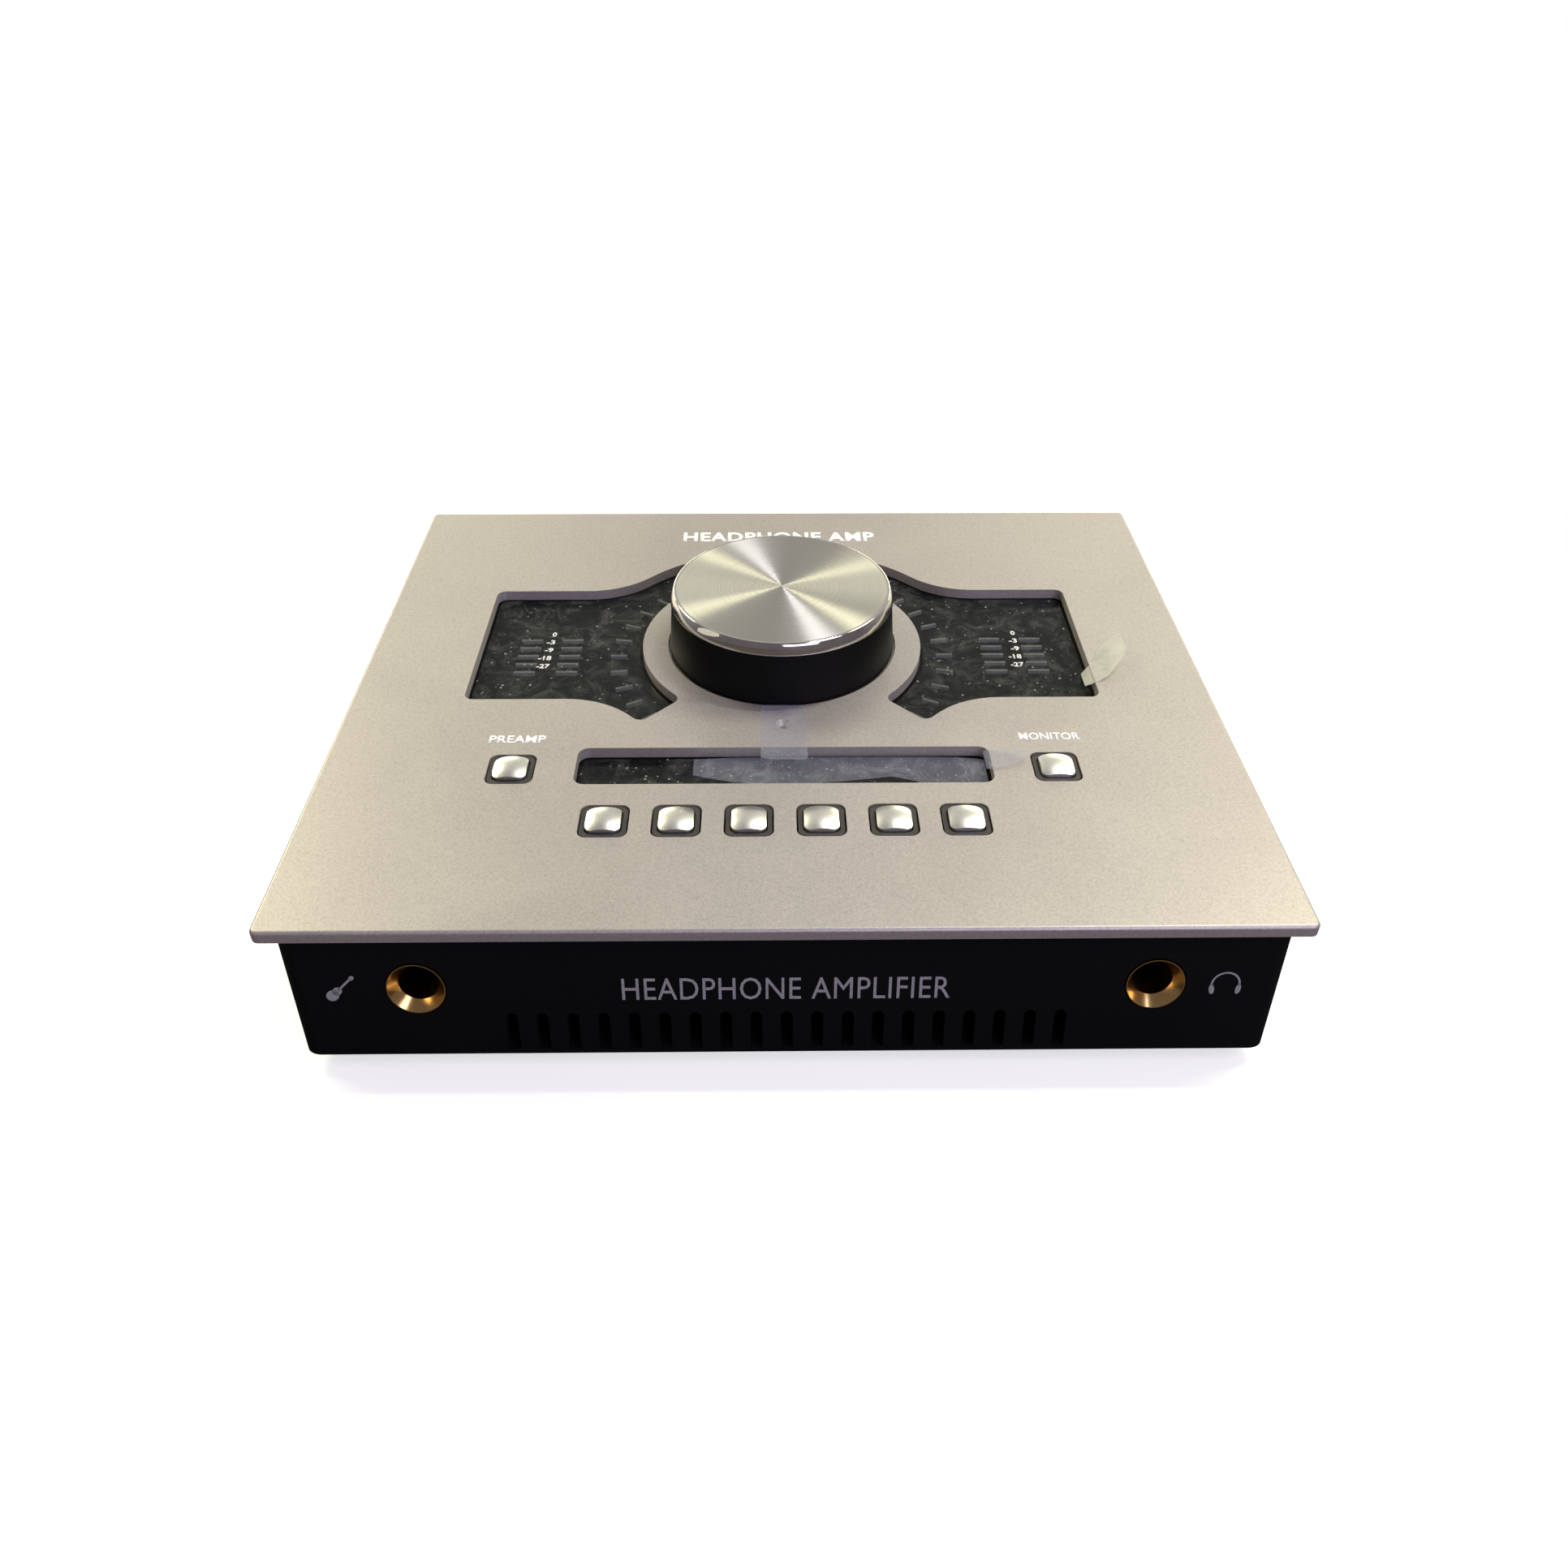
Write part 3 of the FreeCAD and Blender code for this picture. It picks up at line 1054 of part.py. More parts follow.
whole = FreeCAD.BoundBox()
for item in parts:
    whole.add(item.Shape.optimalBoundingBox(False, False))
centring = Vector(0, -(whole.YMin + whole.YMax) / 2, 0)
for item in parts:
    item.Placement = Placement(centring, Rotation()).multiply(item.Placement)

os.makedirs("parts", exist_ok=True)
for item in parts:
    item.Shape.exportStep(f"parts/{item.Label}.step")
    box_of = item.Shape.optimalBoundingBox(False, False)
    print(f"{item.Label:24s} solids {len(item.Shape.Solids):2d} volume {item.Shape.Volume:10.1f}"
          f"  x {box_of.XMin:7.2f} {box_of.XMax:7.2f}  y {box_of.YMin:7.2f} {box_of.YMax:7.2f}"
          f"  z {box_of.ZMin:6.2f} {box_of.ZMax:6.2f}")
print(f"{len(parts)} sub-parts; origin moved by {centring.y:.4f};"
      f" depth {whole.YMax - whole.YMin:.2f} height {whole.ZMax - whole.ZMin:.2f}")
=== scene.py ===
# %% [markdown]
# # A desktop headphone amplifier
# The real object is a sloped black tray with a blasted aluminium deck on top.
# A big knob, two smoked meter windows and a display show from the front.
# Eight metal buttons and two gold sockets show there too.
# All working parts come packed as solid models, so this lesson gives them their finish.
# It also adds what a solid model leaves out: the turned crown, the printing and the protective films.

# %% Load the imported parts
import bpy
import bmesh
import json
import math
from mathutils import Matrix, Vector


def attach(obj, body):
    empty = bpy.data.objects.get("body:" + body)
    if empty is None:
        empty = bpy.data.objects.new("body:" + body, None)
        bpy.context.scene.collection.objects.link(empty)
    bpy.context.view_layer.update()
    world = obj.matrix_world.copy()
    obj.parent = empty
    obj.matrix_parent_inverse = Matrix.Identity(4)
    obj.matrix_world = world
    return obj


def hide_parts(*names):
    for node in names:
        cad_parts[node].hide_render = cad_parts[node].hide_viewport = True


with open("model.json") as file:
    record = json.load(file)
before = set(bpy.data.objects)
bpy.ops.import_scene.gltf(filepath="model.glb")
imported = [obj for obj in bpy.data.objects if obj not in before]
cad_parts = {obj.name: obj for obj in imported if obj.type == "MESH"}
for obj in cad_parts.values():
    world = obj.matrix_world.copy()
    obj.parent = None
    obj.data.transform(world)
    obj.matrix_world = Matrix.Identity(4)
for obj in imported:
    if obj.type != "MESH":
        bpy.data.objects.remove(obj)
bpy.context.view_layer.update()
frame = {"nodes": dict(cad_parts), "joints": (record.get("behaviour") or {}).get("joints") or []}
NODES = frame["nodes"]
MM = 0.001
print("parts loaded:", len(NODES))

# %% [markdown]
# ## The deck as a drawing board
# The deck slopes toward the hands, so nothing on it is level.
# We could work out every height by hand, but it is easier to draw flat and tilt at the end.
# The knob turns about a line that stands square on the deck, so its joint gives the tilt.

# %% Find the slope of the deck
TURN = next(j for j in frame["joints"] if j["name"] == "knob_turn")
UP = Vector(TURN["axis"]).normalized()
SLOPE = math.atan2(-UP.y, UP.z)
KNOB_BACK = 12.3
KNOB_PIVOT_HIGH = 5.0
KNOB_FACE_HIGH = 12.5
BACK = Vector((0.0, math.cos(SLOPE), math.sin(SLOPE)))
ORIGIN = Vector(TURN["pos_m"]) - BACK * KNOB_BACK * MM - UP * KNOB_PIVOT_HIGH * MM
DECK = Matrix.Translation(ORIGIN) @ Matrix.Rotation(SLOPE, 4, "X")
print("deck slope", round(math.degrees(SLOPE), 2), "degrees")
print("deck middle", [round(v, 4) for v in ORIGIN])

# %% [markdown]
# The front of the tray leans too, so it gets a board of its own.
# Its X runs to the right and its Y runs up the face.
# Its origin is under the middle of the deck's front edge.

# %% Find the front face of the tray
FACE_LEAN = math.radians(11.0)
FACE_BACK = -66.0
DECK_THICK = 2.1
FACE = DECK @ Matrix.Translation(Vector((0.0, FACE_BACK, -DECK_THICK)) * MM)
FACE = FACE @ Matrix.Rotation(math.radians(90.0) - FACE_LEAN, 4, "X")


def tidy_selection():
    """Nothing selected, in object mode."""
    if bpy.context.object is not None and bpy.context.object.mode != "OBJECT":
        bpy.ops.object.mode_set(mode="OBJECT")
    bpy.ops.object.select_all(action="DESELECT")


def take(piece):
    """Make one piece the selected and active one."""
    tidy_selection()
    piece.select_set(True)
    bpy.context.view_layer.objects.active = piece


def settle(piece, board=DECK):
    """Move a piece drawn on a flat board to its real place, and leave that place in its mesh."""
    take(piece)
    bpy.ops.object.transform_apply(location=True, rotation=True, scale=True)
    piece.matrix_world = board
    bpy.ops.object.transform_apply(location=True, rotation=True, scale=True)


# %% [markdown]
# ## Camera
# The object is looked at from in front, a little above the deck, with the camera close to it.
# A close camera makes the near edge wide and the far edge narrow.
# It is aimed by its tilt and a small swing, with no roll.

# %% Place the camera
CAMERA_PLACE = (-0.0025, -0.2365, 0.1254)
CAMERA_TILT = 65.93
CAMERA_SWING = -0.70
CAMERA_LENS = 28.98

tidy_selection()
bpy.ops.object.camera_add(location=CAMERA_PLACE)
camera = bpy.context.object
camera.rotation_euler = (math.radians(CAMERA_TILT), 0.0, math.radians(CAMERA_SWING))
camera.data.lens = CAMERA_LENS
camera.data.sensor_width = 36.0
camera.data.clip_start = 0.01
bpy.context.scene.camera = camera
bpy.context.scene.view_settings.view_transform = "Standard"
print("camera", CAMERA_LENS, "mm lens")

# %% [markdown]
# ## Floor
# A pale floor holds the object's soft shadow.
# A white sheet would throw light up under the tray and into every polished rim.
# So the sheet is white only to the camera's eye, and a dark desk to all other rays.
# The Light Path node tells the two apart.

# %% Lay the floor
FLOOR_HALF = 0.42
FLOOR_GLOW = 0.66
FLOOR_LOOKS = (
    ("Base Color", (0.10, 0.085, 0.08), (0.86, 0.86, 0.86)),
    ("Emission Color", (0.0, 0.0, 0.0), (1.0, 1.0, 1.0)),
)

tidy_selection()
bpy.ops.mesh.primitive_circle_add(vertices=96, radius=FLOOR_HALF, fill_type="NGON")
floor = bpy.context.object
floor.name = "floor"
paper = bpy.data.materials.new("white_paper")
paper.use_nodes = True
paper_shader = paper.node_tree.nodes["Principled BSDF"]
paper_shader.inputs["Roughness"].default_value = 0.9
paper_shader.inputs["Specular IOR Level"].default_value = 0.1
paper_shader.inputs["Emission Strength"].default_value = FLOOR_GLOW
paper_nodes, paper_links = paper.node_tree.nodes, paper.node_tree.links
paper_sight = paper_nodes.new("ShaderNodeLightPath")
for label, unseen, seen in FLOOR_LOOKS:
    paper_mix = paper_nodes.new("ShaderNodeMix")
    paper_mix.data_type = "RGBA"
    paper_mix.inputs["A"].default_value = (*unseen, 1.0)
    paper_mix.inputs["B"].default_value = (*seen, 1.0)
    paper_links.new(paper_sight.outputs["Is Camera Ray"], paper_mix.inputs["Factor"])
    paper_links.new(paper_mix.outputs["Result"], paper_shader.inputs[label])
floor.data.materials.append(paper)
print("floor laid")

# %% [markdown]
# ## Light
# A room's ceiling lamps are warm and slightly green, and daylight adds a cool lilac fill.
# Two wide panels stand low behind, apart from each other.
# So the spun face is bright at its sides only.
# Each lamp is a soft panel, because bare metal shows the shape of every lamp as a streak.
# Panels are aimed at the knob and hidden from the camera.

# %% Hang the light panels
KNOB_MIDDLE = DECK @ (Vector((0.0, KNOB_BACK, KNOB_FACE_HIGH)) * MM)


def panel(name, direction, distance, wide, tall, watts, colour):
    """Soft light panel, placed in a direction from the knob and turned to face it."""
    place = KNOB_MIDDLE + Vector(direction).normalized() * distance
    tidy_selection()
    bpy.ops.object.light_add(type="AREA", location=place)
    lamp = bpy.context.object
    lamp.name = name
    lamp.data.shape = "RECTANGLE"
    lamp.data.size = wide
    lamp.data.size_y = tall
    lamp.data.energy = watts
    lamp.data.color = colour
    lamp.rotation_euler = (KNOB_MIDDLE - place).to_track_quat("-Z", "Y").to_euler()
    lamp.visible_camera = False


WARM = (1.0, 0.96, 0.66)
WHITE = (1.0, 0.98, 0.96)
LILAC = (0.80, 0.74, 1.0)
panel("back_left_panel", (-0.66, 0.36, 0.66), 1.0, 0.34, 0.20, 3.3, WARM)
panel("right_panel", (0.56, 0.15, 0.80), 1.0, 0.26, 0.24, 3.0, WARM)
panel("ceiling_strip", (0.28, -0.02, 0.96), 1.0, 0.03, 0.20, 1.9, WHITE)
panel("far_left_panel", (-0.50, 0.92, 0.42), 1.2, 0.75, 0.30, 2.25, WARM)
panel("far_right_panel", (0.50, 0.92, 0.42), 1.2, 0.75, 0.30, 2.4, WARM)
panel("front_fill", (0.55, -0.60, 0.60), 1.0, 0.50, 0.50, 2.6, LILAC)
panel("low_fill", (0.30, -0.95, 0.12), 1.0, 0.60, 0.30, 2.4, LILAC)
print("panels hung")

# %% [markdown]
# The room is brighter behind the object, and dim above it and in front, where a person stands.
# The camera itself sees plain white there, as in a studio, which the Light Path node allows.

# %% Paint the room
ROOM_FRONT = (0.13, 0.115, 0.125, 1.0)
ROOM_BEHIND = (0.47, 0.455, 0.41, 1.0)

room = bpy.data.worlds.new("room")
room.use_nodes = True
bpy.context.scene.world = room
tree = room.node_tree
tree.nodes.clear()
place = tree.nodes.new("ShaderNodeTexCoord")
parts = tree.nodes.new("ShaderNodeSeparateXYZ")
tree.links.new(place.outputs["Generated"], parts.inputs["Vector"])
depth = tree.nodes.new("ShaderNodeMapRange")
depth.inputs["From Min"].default_value = -0.15
depth.inputs["From Max"].default_value = 0.55
tree.links.new(parts.outputs["Y"], depth.inputs["Value"])
height = tree.nodes.new("ShaderNodeMapRange")
height.inputs["From Min"].default_value = -0.15
height.inputs["From Max"].default_value = 0.10
tree.links.new(parts.outputs["Z"], height.inputs["Value"])
most = tree.nodes.new("ShaderNodeMath")
most.operation = "MULTIPLY"
tree.links.new(depth.outputs["Result"], most.inputs[0])
tree.links.new(height.outputs["Result"], most.inputs[1])
tint = tree.nodes.new("ShaderNodeMix")
tint.data_type = "RGBA"
tint.inputs["A"].default_value = ROOM_FRONT
tint.inputs["B"].default_value = ROOM_BEHIND
tree.links.new(most.outputs["Value"], tint.inputs["Factor"])
dim = tree.nodes.new("ShaderNodeBackground")
tree.links.new(tint.outputs["Result"], dim.inputs["Color"])
white = tree.nodes.new("ShaderNodeBackground")
white.inputs["Color"].default_value = (1.0, 1.0, 1.0, 1.0)
sight = tree.nodes.new("ShaderNodeLightPath")
pick = tree.nodes.new("ShaderNodeMixShader")
tree.links.new(sight.outputs["Is Camera Ray"], pick.inputs["Fac"])
tree.links.new(dim.outputs["Background"], pick.inputs[1])
tree.links.new(white.outputs["Background"], pick.inputs[2])
world_out = tree.nodes.new("ShaderNodeOutputWorld")
tree.links.new(pick.outputs["Shader"], world_out.inputs["Surface"])
print("room painted")

# %% [markdown]
# ## Shared effects
# Grain, flakes, dust and smudges turn up in many finishes.
# Each one is a node group, built once and placed in a material with its own sizes.
# A group reads the Object coordinates, in metres, and gives out a mask or a height.


# %% A helper for node groups
def open_group(name, inputs, outputs):
    """Empty node group with number sockets; returns the tree, its inputs and its outputs."""
    group = bpy.data.node_groups.new(name, "ShaderNodeTree")
    group.interface.new_socket("Vector", in_out="INPUT", socket_type="NodeSocketVector")
    for label, value in inputs:
        socket = group.interface.new_socket(label, in_out="INPUT", socket_type="NodeSocketFloat")
        socket.default_value = value
    for label in outputs:
        group.interface.new_socket(label, in_out="OUTPUT", socket_type="NodeSocketFloat")
    return group, group.nodes.new("NodeGroupInput"), group.nodes.new("NodeGroupOutput")


def math_node(tree, operation, first, second):
    """Math node on two sockets or numbers; returns its output."""
    node = tree.nodes.new("ShaderNodeMath")
    node.operation = operation
    for slot_number, value in enumerate((first, second)):
        if isinstance(value, (int, float)):
            node.inputs[slot_number].default_value = value
        else:
            tree.links.new(value, node.inputs[slot_number])
    return node.outputs["Value"]


def spread(tree, value, low, high, to_low=0.0, to_high=1.0):
    """Map Range node from low..high to to_low..to_high; returns its output."""
    node = tree.nodes.new("ShaderNodeMapRange")
    tree.links.new(value, node.inputs["Value"])
    ends = {"From Min": low, "From Max": high, "To Min": to_low, "To Max": to_high}
    for label, number in ends.items():
        if isinstance(number, (int, float)):
            node.inputs[label].default_value = number
        else:
            tree.links.new(number, node.inputs[label])
    return node.outputs["Result"]


# %% [markdown]
# Grain is the fine unevenness of a blasted, powder-coated or moulded surface.
# Noise at the size of the grains serves for both colour and bump.

# %% Build the grain group
grain_group, g_in, g_out = open_group("surface_grain", [("Grains per metre", 2500.0)], ["Height"])
grain_noise = grain_group.nodes.new("ShaderNodeTexNoise")
grain_noise.inputs["Detail"].default_value = 3.0
grain_noise.inputs["Roughness"].default_value = 0.65
grain_group.links.new(g_in.outputs["Vector"], grain_noise.inputs["Vector"])
grain_group.links.new(g_in.outputs["Grains per metre"], grain_noise.inputs["Scale"])
grain_group.links.new(grain_noise.outputs["Fac"], g_out.inputs["Height"])
print("group", grain_group.name)

# %% [markdown]
# Flakes are the tiny bright facets that make blasted metal glitter.
# A Voronoi texture gives each cell its own random grey, which is what a field of facets looks like.

# %% Build the flake group
flake_group, g_in, g_out = open_group("metal_flakes", [("Flakes per metre", 4000.0)], ["Mask"])
flake_cells = flake_group.nodes.new("ShaderNodeTexVoronoi")
flake_group.links.new(g_in.outputs["Vector"], flake_cells.inputs["Vector"])
flake_group.links.new(g_in.outputs["Flakes per metre"], flake_cells.inputs["Scale"])
flake_parts = flake_group.nodes.new("ShaderNodeSeparateColor")
flake_group.links.new(flake_cells.outputs["Color"], flake_parts.inputs["Color"])
flake_group.links.new(flake_parts.outputs["Red"], g_out.inputs["Mask"])
print("group", flake_group.name)

# %% [markdown]
# Dust is a few separate specks of many sizes and a thin haze in patches.
# Cell centres make the specks, and a random size per cell makes most of them vanish.
# Slow noise makes the haze.

# %% Build the dust group
dust_inputs = [("Specks per metre", 900.0), ("Haze", 0.3)]
dust_group, g_in, g_out = open_group("settled_dust", dust_inputs, ["Mask"])
speck_cells = dust_group.nodes.new("ShaderNodeTexVoronoi")
dust_group.links.new(g_in.outputs["Vector"], speck_cells.inputs["Vector"])
dust_group.links.new(g_in.outputs["Specks per metre"], speck_cells.inputs["Scale"])
speck_parts = dust_group.nodes.new("ShaderNodeSeparateColor")
dust_group.links.new(speck_cells.outputs["Color"], speck_parts.inputs["Color"])
speck_size = spread(dust_group, speck_parts.outputs["Green"], 0.86, 1.0, 0.0, 0.40)
speck_edge = math_node(dust_group, "SUBTRACT", speck_size, speck_cells.outputs["Distance"])
speck_mask = spread(dust_group, speck_edge, 0.0, 0.12)
haze_noise = dust_group.nodes.new("ShaderNodeTexNoise")
haze_noise.inputs["Scale"].default_value = 190.0
haze_noise.inputs["Distortion"].default_value = 1.2
haze_noise.inputs["Detail"].default_value = 6.0
haze_noise.inputs["Roughness"].default_value = 0.80
dust_group.links.new(g_in.outputs["Vector"], haze_noise.inputs["Vector"])
haze_mask = spread(dust_group, haze_noise.outputs["Fac"], 0.48, 0.78)
haze_part = math_node(dust_group, "MULTIPLY", haze_mask, g_in.outputs["Haze"])
dust_sum = math_node(dust_group, "MAXIMUM", speck_mask, haze_part)
dust_group.links.new(dust_sum, g_out.inputs["Mask"])
print("group", dust_group.name)

# %% [markdown]
# Smudges are where fingers and cloths have been: slow, soft changes in how sharp a reflection is.

# %% Build the smudge group
smudge_group, g_in, g_out = open_group("smudges", [("Low", 0.3), ("High", 0.5)], ["Roughness"])
smudge_noise = smudge_group.nodes.new("ShaderNodeTexNoise")
smudge_noise.inputs["Scale"].default_value = 55.0
smudge_noise.inputs["Detail"].default_value = 5.0
smudge_noise.inputs["Distortion"].default_value = 0.6
smudge_group.links.new(g_in.outputs["Vector"], smudge_noise.inputs["Vector"])
smudge_value = spread(
    smudge_group, smudge_noise.outputs["Fac"], 0.3, 0.7, g_in.outputs["Low"], g_in.outputs["High"]
)
smudge_group.links.new(smudge_value, g_out.inputs["Roughness"])
print("group", smudge_group.name)


# %% [markdown]
# ## Finishes
# Every finish below starts from one Principled shader.
# The same steps repeat: coordinates in, a group for variation, a bump for the surface.
# So one helper does them, and each finish gives its own colours and sizes.


# %% A helper for finishes
def open_finish(name):
    """Empty finish; returns the material, its tree, its shader and the Object coordinates."""
    material = bpy.data.materials.new(name)
    material.use_nodes = True
    tree = material.node_tree
    shader = tree.nodes["Principled BSDF"]
    where = tree.nodes.new("ShaderNodeTexCoord").outputs["Object"]
    return material, tree, shader, where


def add_group(tree, group, where, **values):
    """Place a shared effect in a material; returns the group node."""
    node = tree.nodes.new("ShaderNodeGroup")
    node.node_tree = group
    tree.links.new(where, node.inputs["Vector"])
    for label, value in values.items():
        node.inputs[label.replace("_", " ")].default_value = value
    return node


def mix_colour(tree, factor, first, second):
    """Mix node between two colours or sockets; returns its colour output."""
    node = tree.nodes.new("ShaderNodeMix")
    node.data_type = "RGBA"
    tree.links.new(factor, node.inputs["Factor"])
    for label, value in (("A", first), ("B", second)):
        if isinstance(value, tuple):
            node.inputs[label].default_value = (*value, 1.0)
        else:
            tree.links.new(value, node.inputs[label])
    return node.outputs["Result"]


def add_bump(tree, shader, height, strength, distance):
    """Bump from a height socket into the shader's normal."""
    bump = tree.nodes.new("ShaderNodeBump")
    bump.inputs["Strength"].default_value = strength
    bump.inputs["Distance"].default_value = distance
    tree.links.new(height, bump.inputs["Height"])
    tree.links.new(bump.outputs["Normal"], shader.inputs["Normal"])


def set_shader(shader, **values):
    """Set constant sockets of the shader by their names."""
    for label, value in values.items():
        shader.inputs[label.replace("_", " ")].default_value = value


def grained(name, dark, light, metal, rough, grains, strength, distance, specular=0.5):
    """Finish with a fine grain in its colour, its gloss and its surface."""
    material, tree, shader, where = open_finish(name)
    grain = add_group(tree, grain_group, where, Grains_per_metre=grains)
    tone = spread(tree, grain.outputs["Height"], 0.3, 0.7)
    tree.links.new(mix_colour(tree, tone, dark, light), shader.inputs["Base Color"])
    smudge = add_group(tree, smudge_group, where, Low=rough[0], High=rough[1])
    tree.links.new(smudge.outputs["Roughness"], shader.inputs["Roughness"])
    shader.inputs["Metallic"].default_value = metal
    shader.inputs["Specular IOR Level"].default_value = specular
    add_bump(tree, shader, grain.outputs["Height"], strength, distance)
    return material


# %% [markdown]
# ### Blasted aluminium of the deck
# The deck is aluminium, bead-blasted and anodised in a warm grey.
# Blasting leaves tiny pits, so it glitters a little and reflects the room only as soft patches.
# Flakes vary the colour, grain gives the pits, and smudges vary the gloss.

# %% Finish for the deck
deck_finish, tree, shader, where = open_finish("blasted_aluminium")
flakes = add_group(tree, flake_group, where, Flakes_per_metre=3600.0)
grain = add_group(tree, grain_group, where, Grains_per_metre=2200.0)
flake_tone = mix_colour(tree, flakes.outputs["Mask"], (0.48, 0.445, 0.418), (0.58, 0.54, 0.508))
grain_tone = spread(tree, grain.outputs["Height"], 0.35, 0.68)
deck_colour = mix_colour(tree, grain_tone, flake_tone, (0.64, 0.597, 0.562))
tree.links.new(deck_colour, shader.inputs["Base Color"])
smudge = add_group(tree, smudge_group, where, Low=0.40, High=0.48)
tree.links.new(smudge.outputs["Roughness"], shader.inputs["Roughness"])
set_shader(shader, Metallic=0.55)
add_bump(tree, shader, grain.outputs["Height"], 0.24, 0.00009)
print("finish", deck_finish.name)

# %% [markdown]
# ### Black finishes
# The tray is steel under a fine matt powder coat, and the plastics inside are moulded.
# The knob's skirt has a soft-touch coat, which is smoother and catches a wider highlight.
# They differ in grain size and in how much they reflect.

# %% Black finishes
tray_finish = grained(
    "black_powder_coat", (0.0030, 0.0030, 0.0034), (0.0055, 0.0055, 0.0060), 0.0,
    (0.52, 0.62), 3200.0, 0.25, 0.00006, 0.12,
)
plastic_finish = grained(
    "black_moulding", (0.006, 0.006, 0.006), (0.011, 0.011, 0.011), 0.0,
    (0.42, 0.55), 1800.0, 0.12, 0.00004, 0.35,
)
skirt_finish = grained(
    "soft_black_coat", (0.004, 0.004, 0.0042), (0.0065, 0.0065, 0.0068), 0.0,
    (0.44, 0.52), 4000.0, 0.08, 0.00003, 0.10,
)
rubber_finish = grained(
    "foot_rubber", (0.010, 0.010, 0.010), (0.020, 0.020, 0.019), 0.0,
    (0.75, 0.9), 1500.0, 0.35, 0.00008, 0.25,
)
chip_finish = grained(
    "chip_epoxy", (0.010, 0.010, 0.011), (0.018, 0.018, 0.019), 0.0,
    (0.50, 0.62), 2600.0, 0.2, 0.00004, 0.4,
)
print("black finishes made")

# %% [markdown]
# ### Bare metals
# Screws, sinks, connectors and buttons are bare or plated metal.
# Plated parts are bright and even, and turned or pressed ones keep fine marks from the tool.

# %% Metal finishes
button_finish = grained(
    "satin_nickel_cap", (0.84, 0.84, 0.80), (0.95, 0.95, 0.92), 1.0,
    (0.33, 0.40), 2600.0, 0.05, 0.00003,
)
bezel_finish = grained(
    "grey_bezel", (0.055, 0.052, 0.048), (0.09, 0.085, 0.078), 0.2,
    (0.34, 0.44), 2600.0, 0.10, 0.00004,
)
steel_finish = grained(
    "zinc_steel", (0.40, 0.41, 0.42), (0.56, 0.57, 0.58), 1.0,
    (0.26, 0.40), 900.0, 0.08, 0.00004,
)
nickel_finish = grained(
    "bright_nickel", (0.58, 0.56, 0.52), (0.70, 0.68, 0.64), 1.0,
    (0.14, 0.26), 1200.0, 0.05, 0.00003,
)
brass_finish = grained(
    "turned_brass", (0.55, 0.38, 0.14), (0.74, 0.54, 0.22), 1.0,
    (0.22, 0.34), 1400.0, 0.08, 0.00004,
)
gold_finish = grained(
    "gold_plate", (0.84, 0.56, 0.20), (0.98, 0.70, 0.30), 1.0,
    (0.16, 0.24), 1500.0, 0.04, 0.00003,
)
sink_finish = grained(
    "cast_sink_aluminium", (0.42, 0.42, 0.42), (0.58, 0.58, 0.58), 1.0,
    (0.38, 0.52), 1500.0, 0.2, 0.00006,
)
board_finish = grained(
    "green_solder_mask", (0.006, 0.050, 0.022), (0.012, 0.080, 0.036), 0.0,
    (0.25, 0.36), 700.0, 0.12, 0.00005,
)
ribbon_finish = grained(
    "grey_ribbon", (0.28, 0.28, 0.29), (0.38, 0.38, 0.40), 0.0,
    (0.45, 0.6), 900.0, 0.2, 0.00006,
)
print("metal finishes made")

# %% [markdown]
# ### Smoked windows
# The meter and display windows are dark acrylic, clear enough to show unlit marks underneath.
# They could be refracting glass, but light would then bend through two faces to reach the marks.
# A thin dark veil with a gloss does the same job with clean light.
# Settled dust lies on top of it.

# %% Finish for the windows
VEIL = 0.34

lens_finish, tree, shader, where = open_finish("smoked_acrylic")
dust = add_group(tree, dust_group, where, Specks_per_metre=1300.0, Haze=0.46)
lens_colour = mix_colour(tree, dust.outputs["Mask"], (0.006, 0.010, 0.010), (0.46, 0.46, 0.44))
tree.links.new(lens_colour, shader.inputs["Base Color"])
veil = spread(tree, dust.outputs["Mask"], 0.0, 1.0, VEIL, 0.70)
tree.links.new(veil, shader.inputs["Alpha"])
lens_gloss = spread(tree, dust.outputs["Mask"], 0.0, 1.0, 0.10, 0.75)
tree.links.new(lens_gloss, shader.inputs["Roughness"])
set_shader(shader, IOR=1.49)
print("finish", lens_finish.name)

# %% [markdown]
# Under the windows sit the marks: pale light guides and a dark display glass.

# %% Finishes under the windows
guide_finish = grained(
    "unlit_light_guide", (0.62, 0.63, 0.62), (0.84, 0.85, 0.84), 0.0,
    (0.3, 0.5), 1500.0, 0.1, 0.00005,
)
screen_finish = grained(
    "display_glass", (0.008, 0.010, 0.012), (0.014, 0.017, 0.020), 0.0,
    (0.08, 0.14), 500.0, 0.02, 0.00003,
)
print("window marks made")

# %% [markdown]
# ## Dress the imported parts
# The record gives each part a finish by name, and the list below says what we make of it.
# The microphone's capsule is the one exception: it is made black as painted shade, so its hole in the
# deck stays dark.

# %% Give every imported part its finish
FINISHES = {
    "deck_paint": deck_finish,
    "tray_paint": tray_finish,
    "black_plastic": plastic_finish,
    "smoked_lens": lens_finish,
    "screen": screen_finish,
    "light_guide": guide_finish,
    "button_metal": button_finish,
    "bezel_grey": bezel_finish,
    "knob_black": skirt_finish,
    "knob_aluminium": nickel_finish,
    "brass": brass_finish,
    "gold_plate": gold_finish,
    "steel": steel_finish,
    "nickel": nickel_finish,
    "board_green": board_finish,
    "chip_black": chip_finish,
    "sink_aluminium": sink_finish,
    "ribbon_grey": ribbon_finish,
    "foot_rubber": rubber_finish,
}
for node in NODES.values():
    for dressed in node.material_slots:
        dressed.material = FINISHES[dressed.material.name]
# Painted shade: the capsule is made black so the hole over it reads as a dark, shaded hole.
NODES["talkback_mic"].material_slots[0].material = plastic_finish
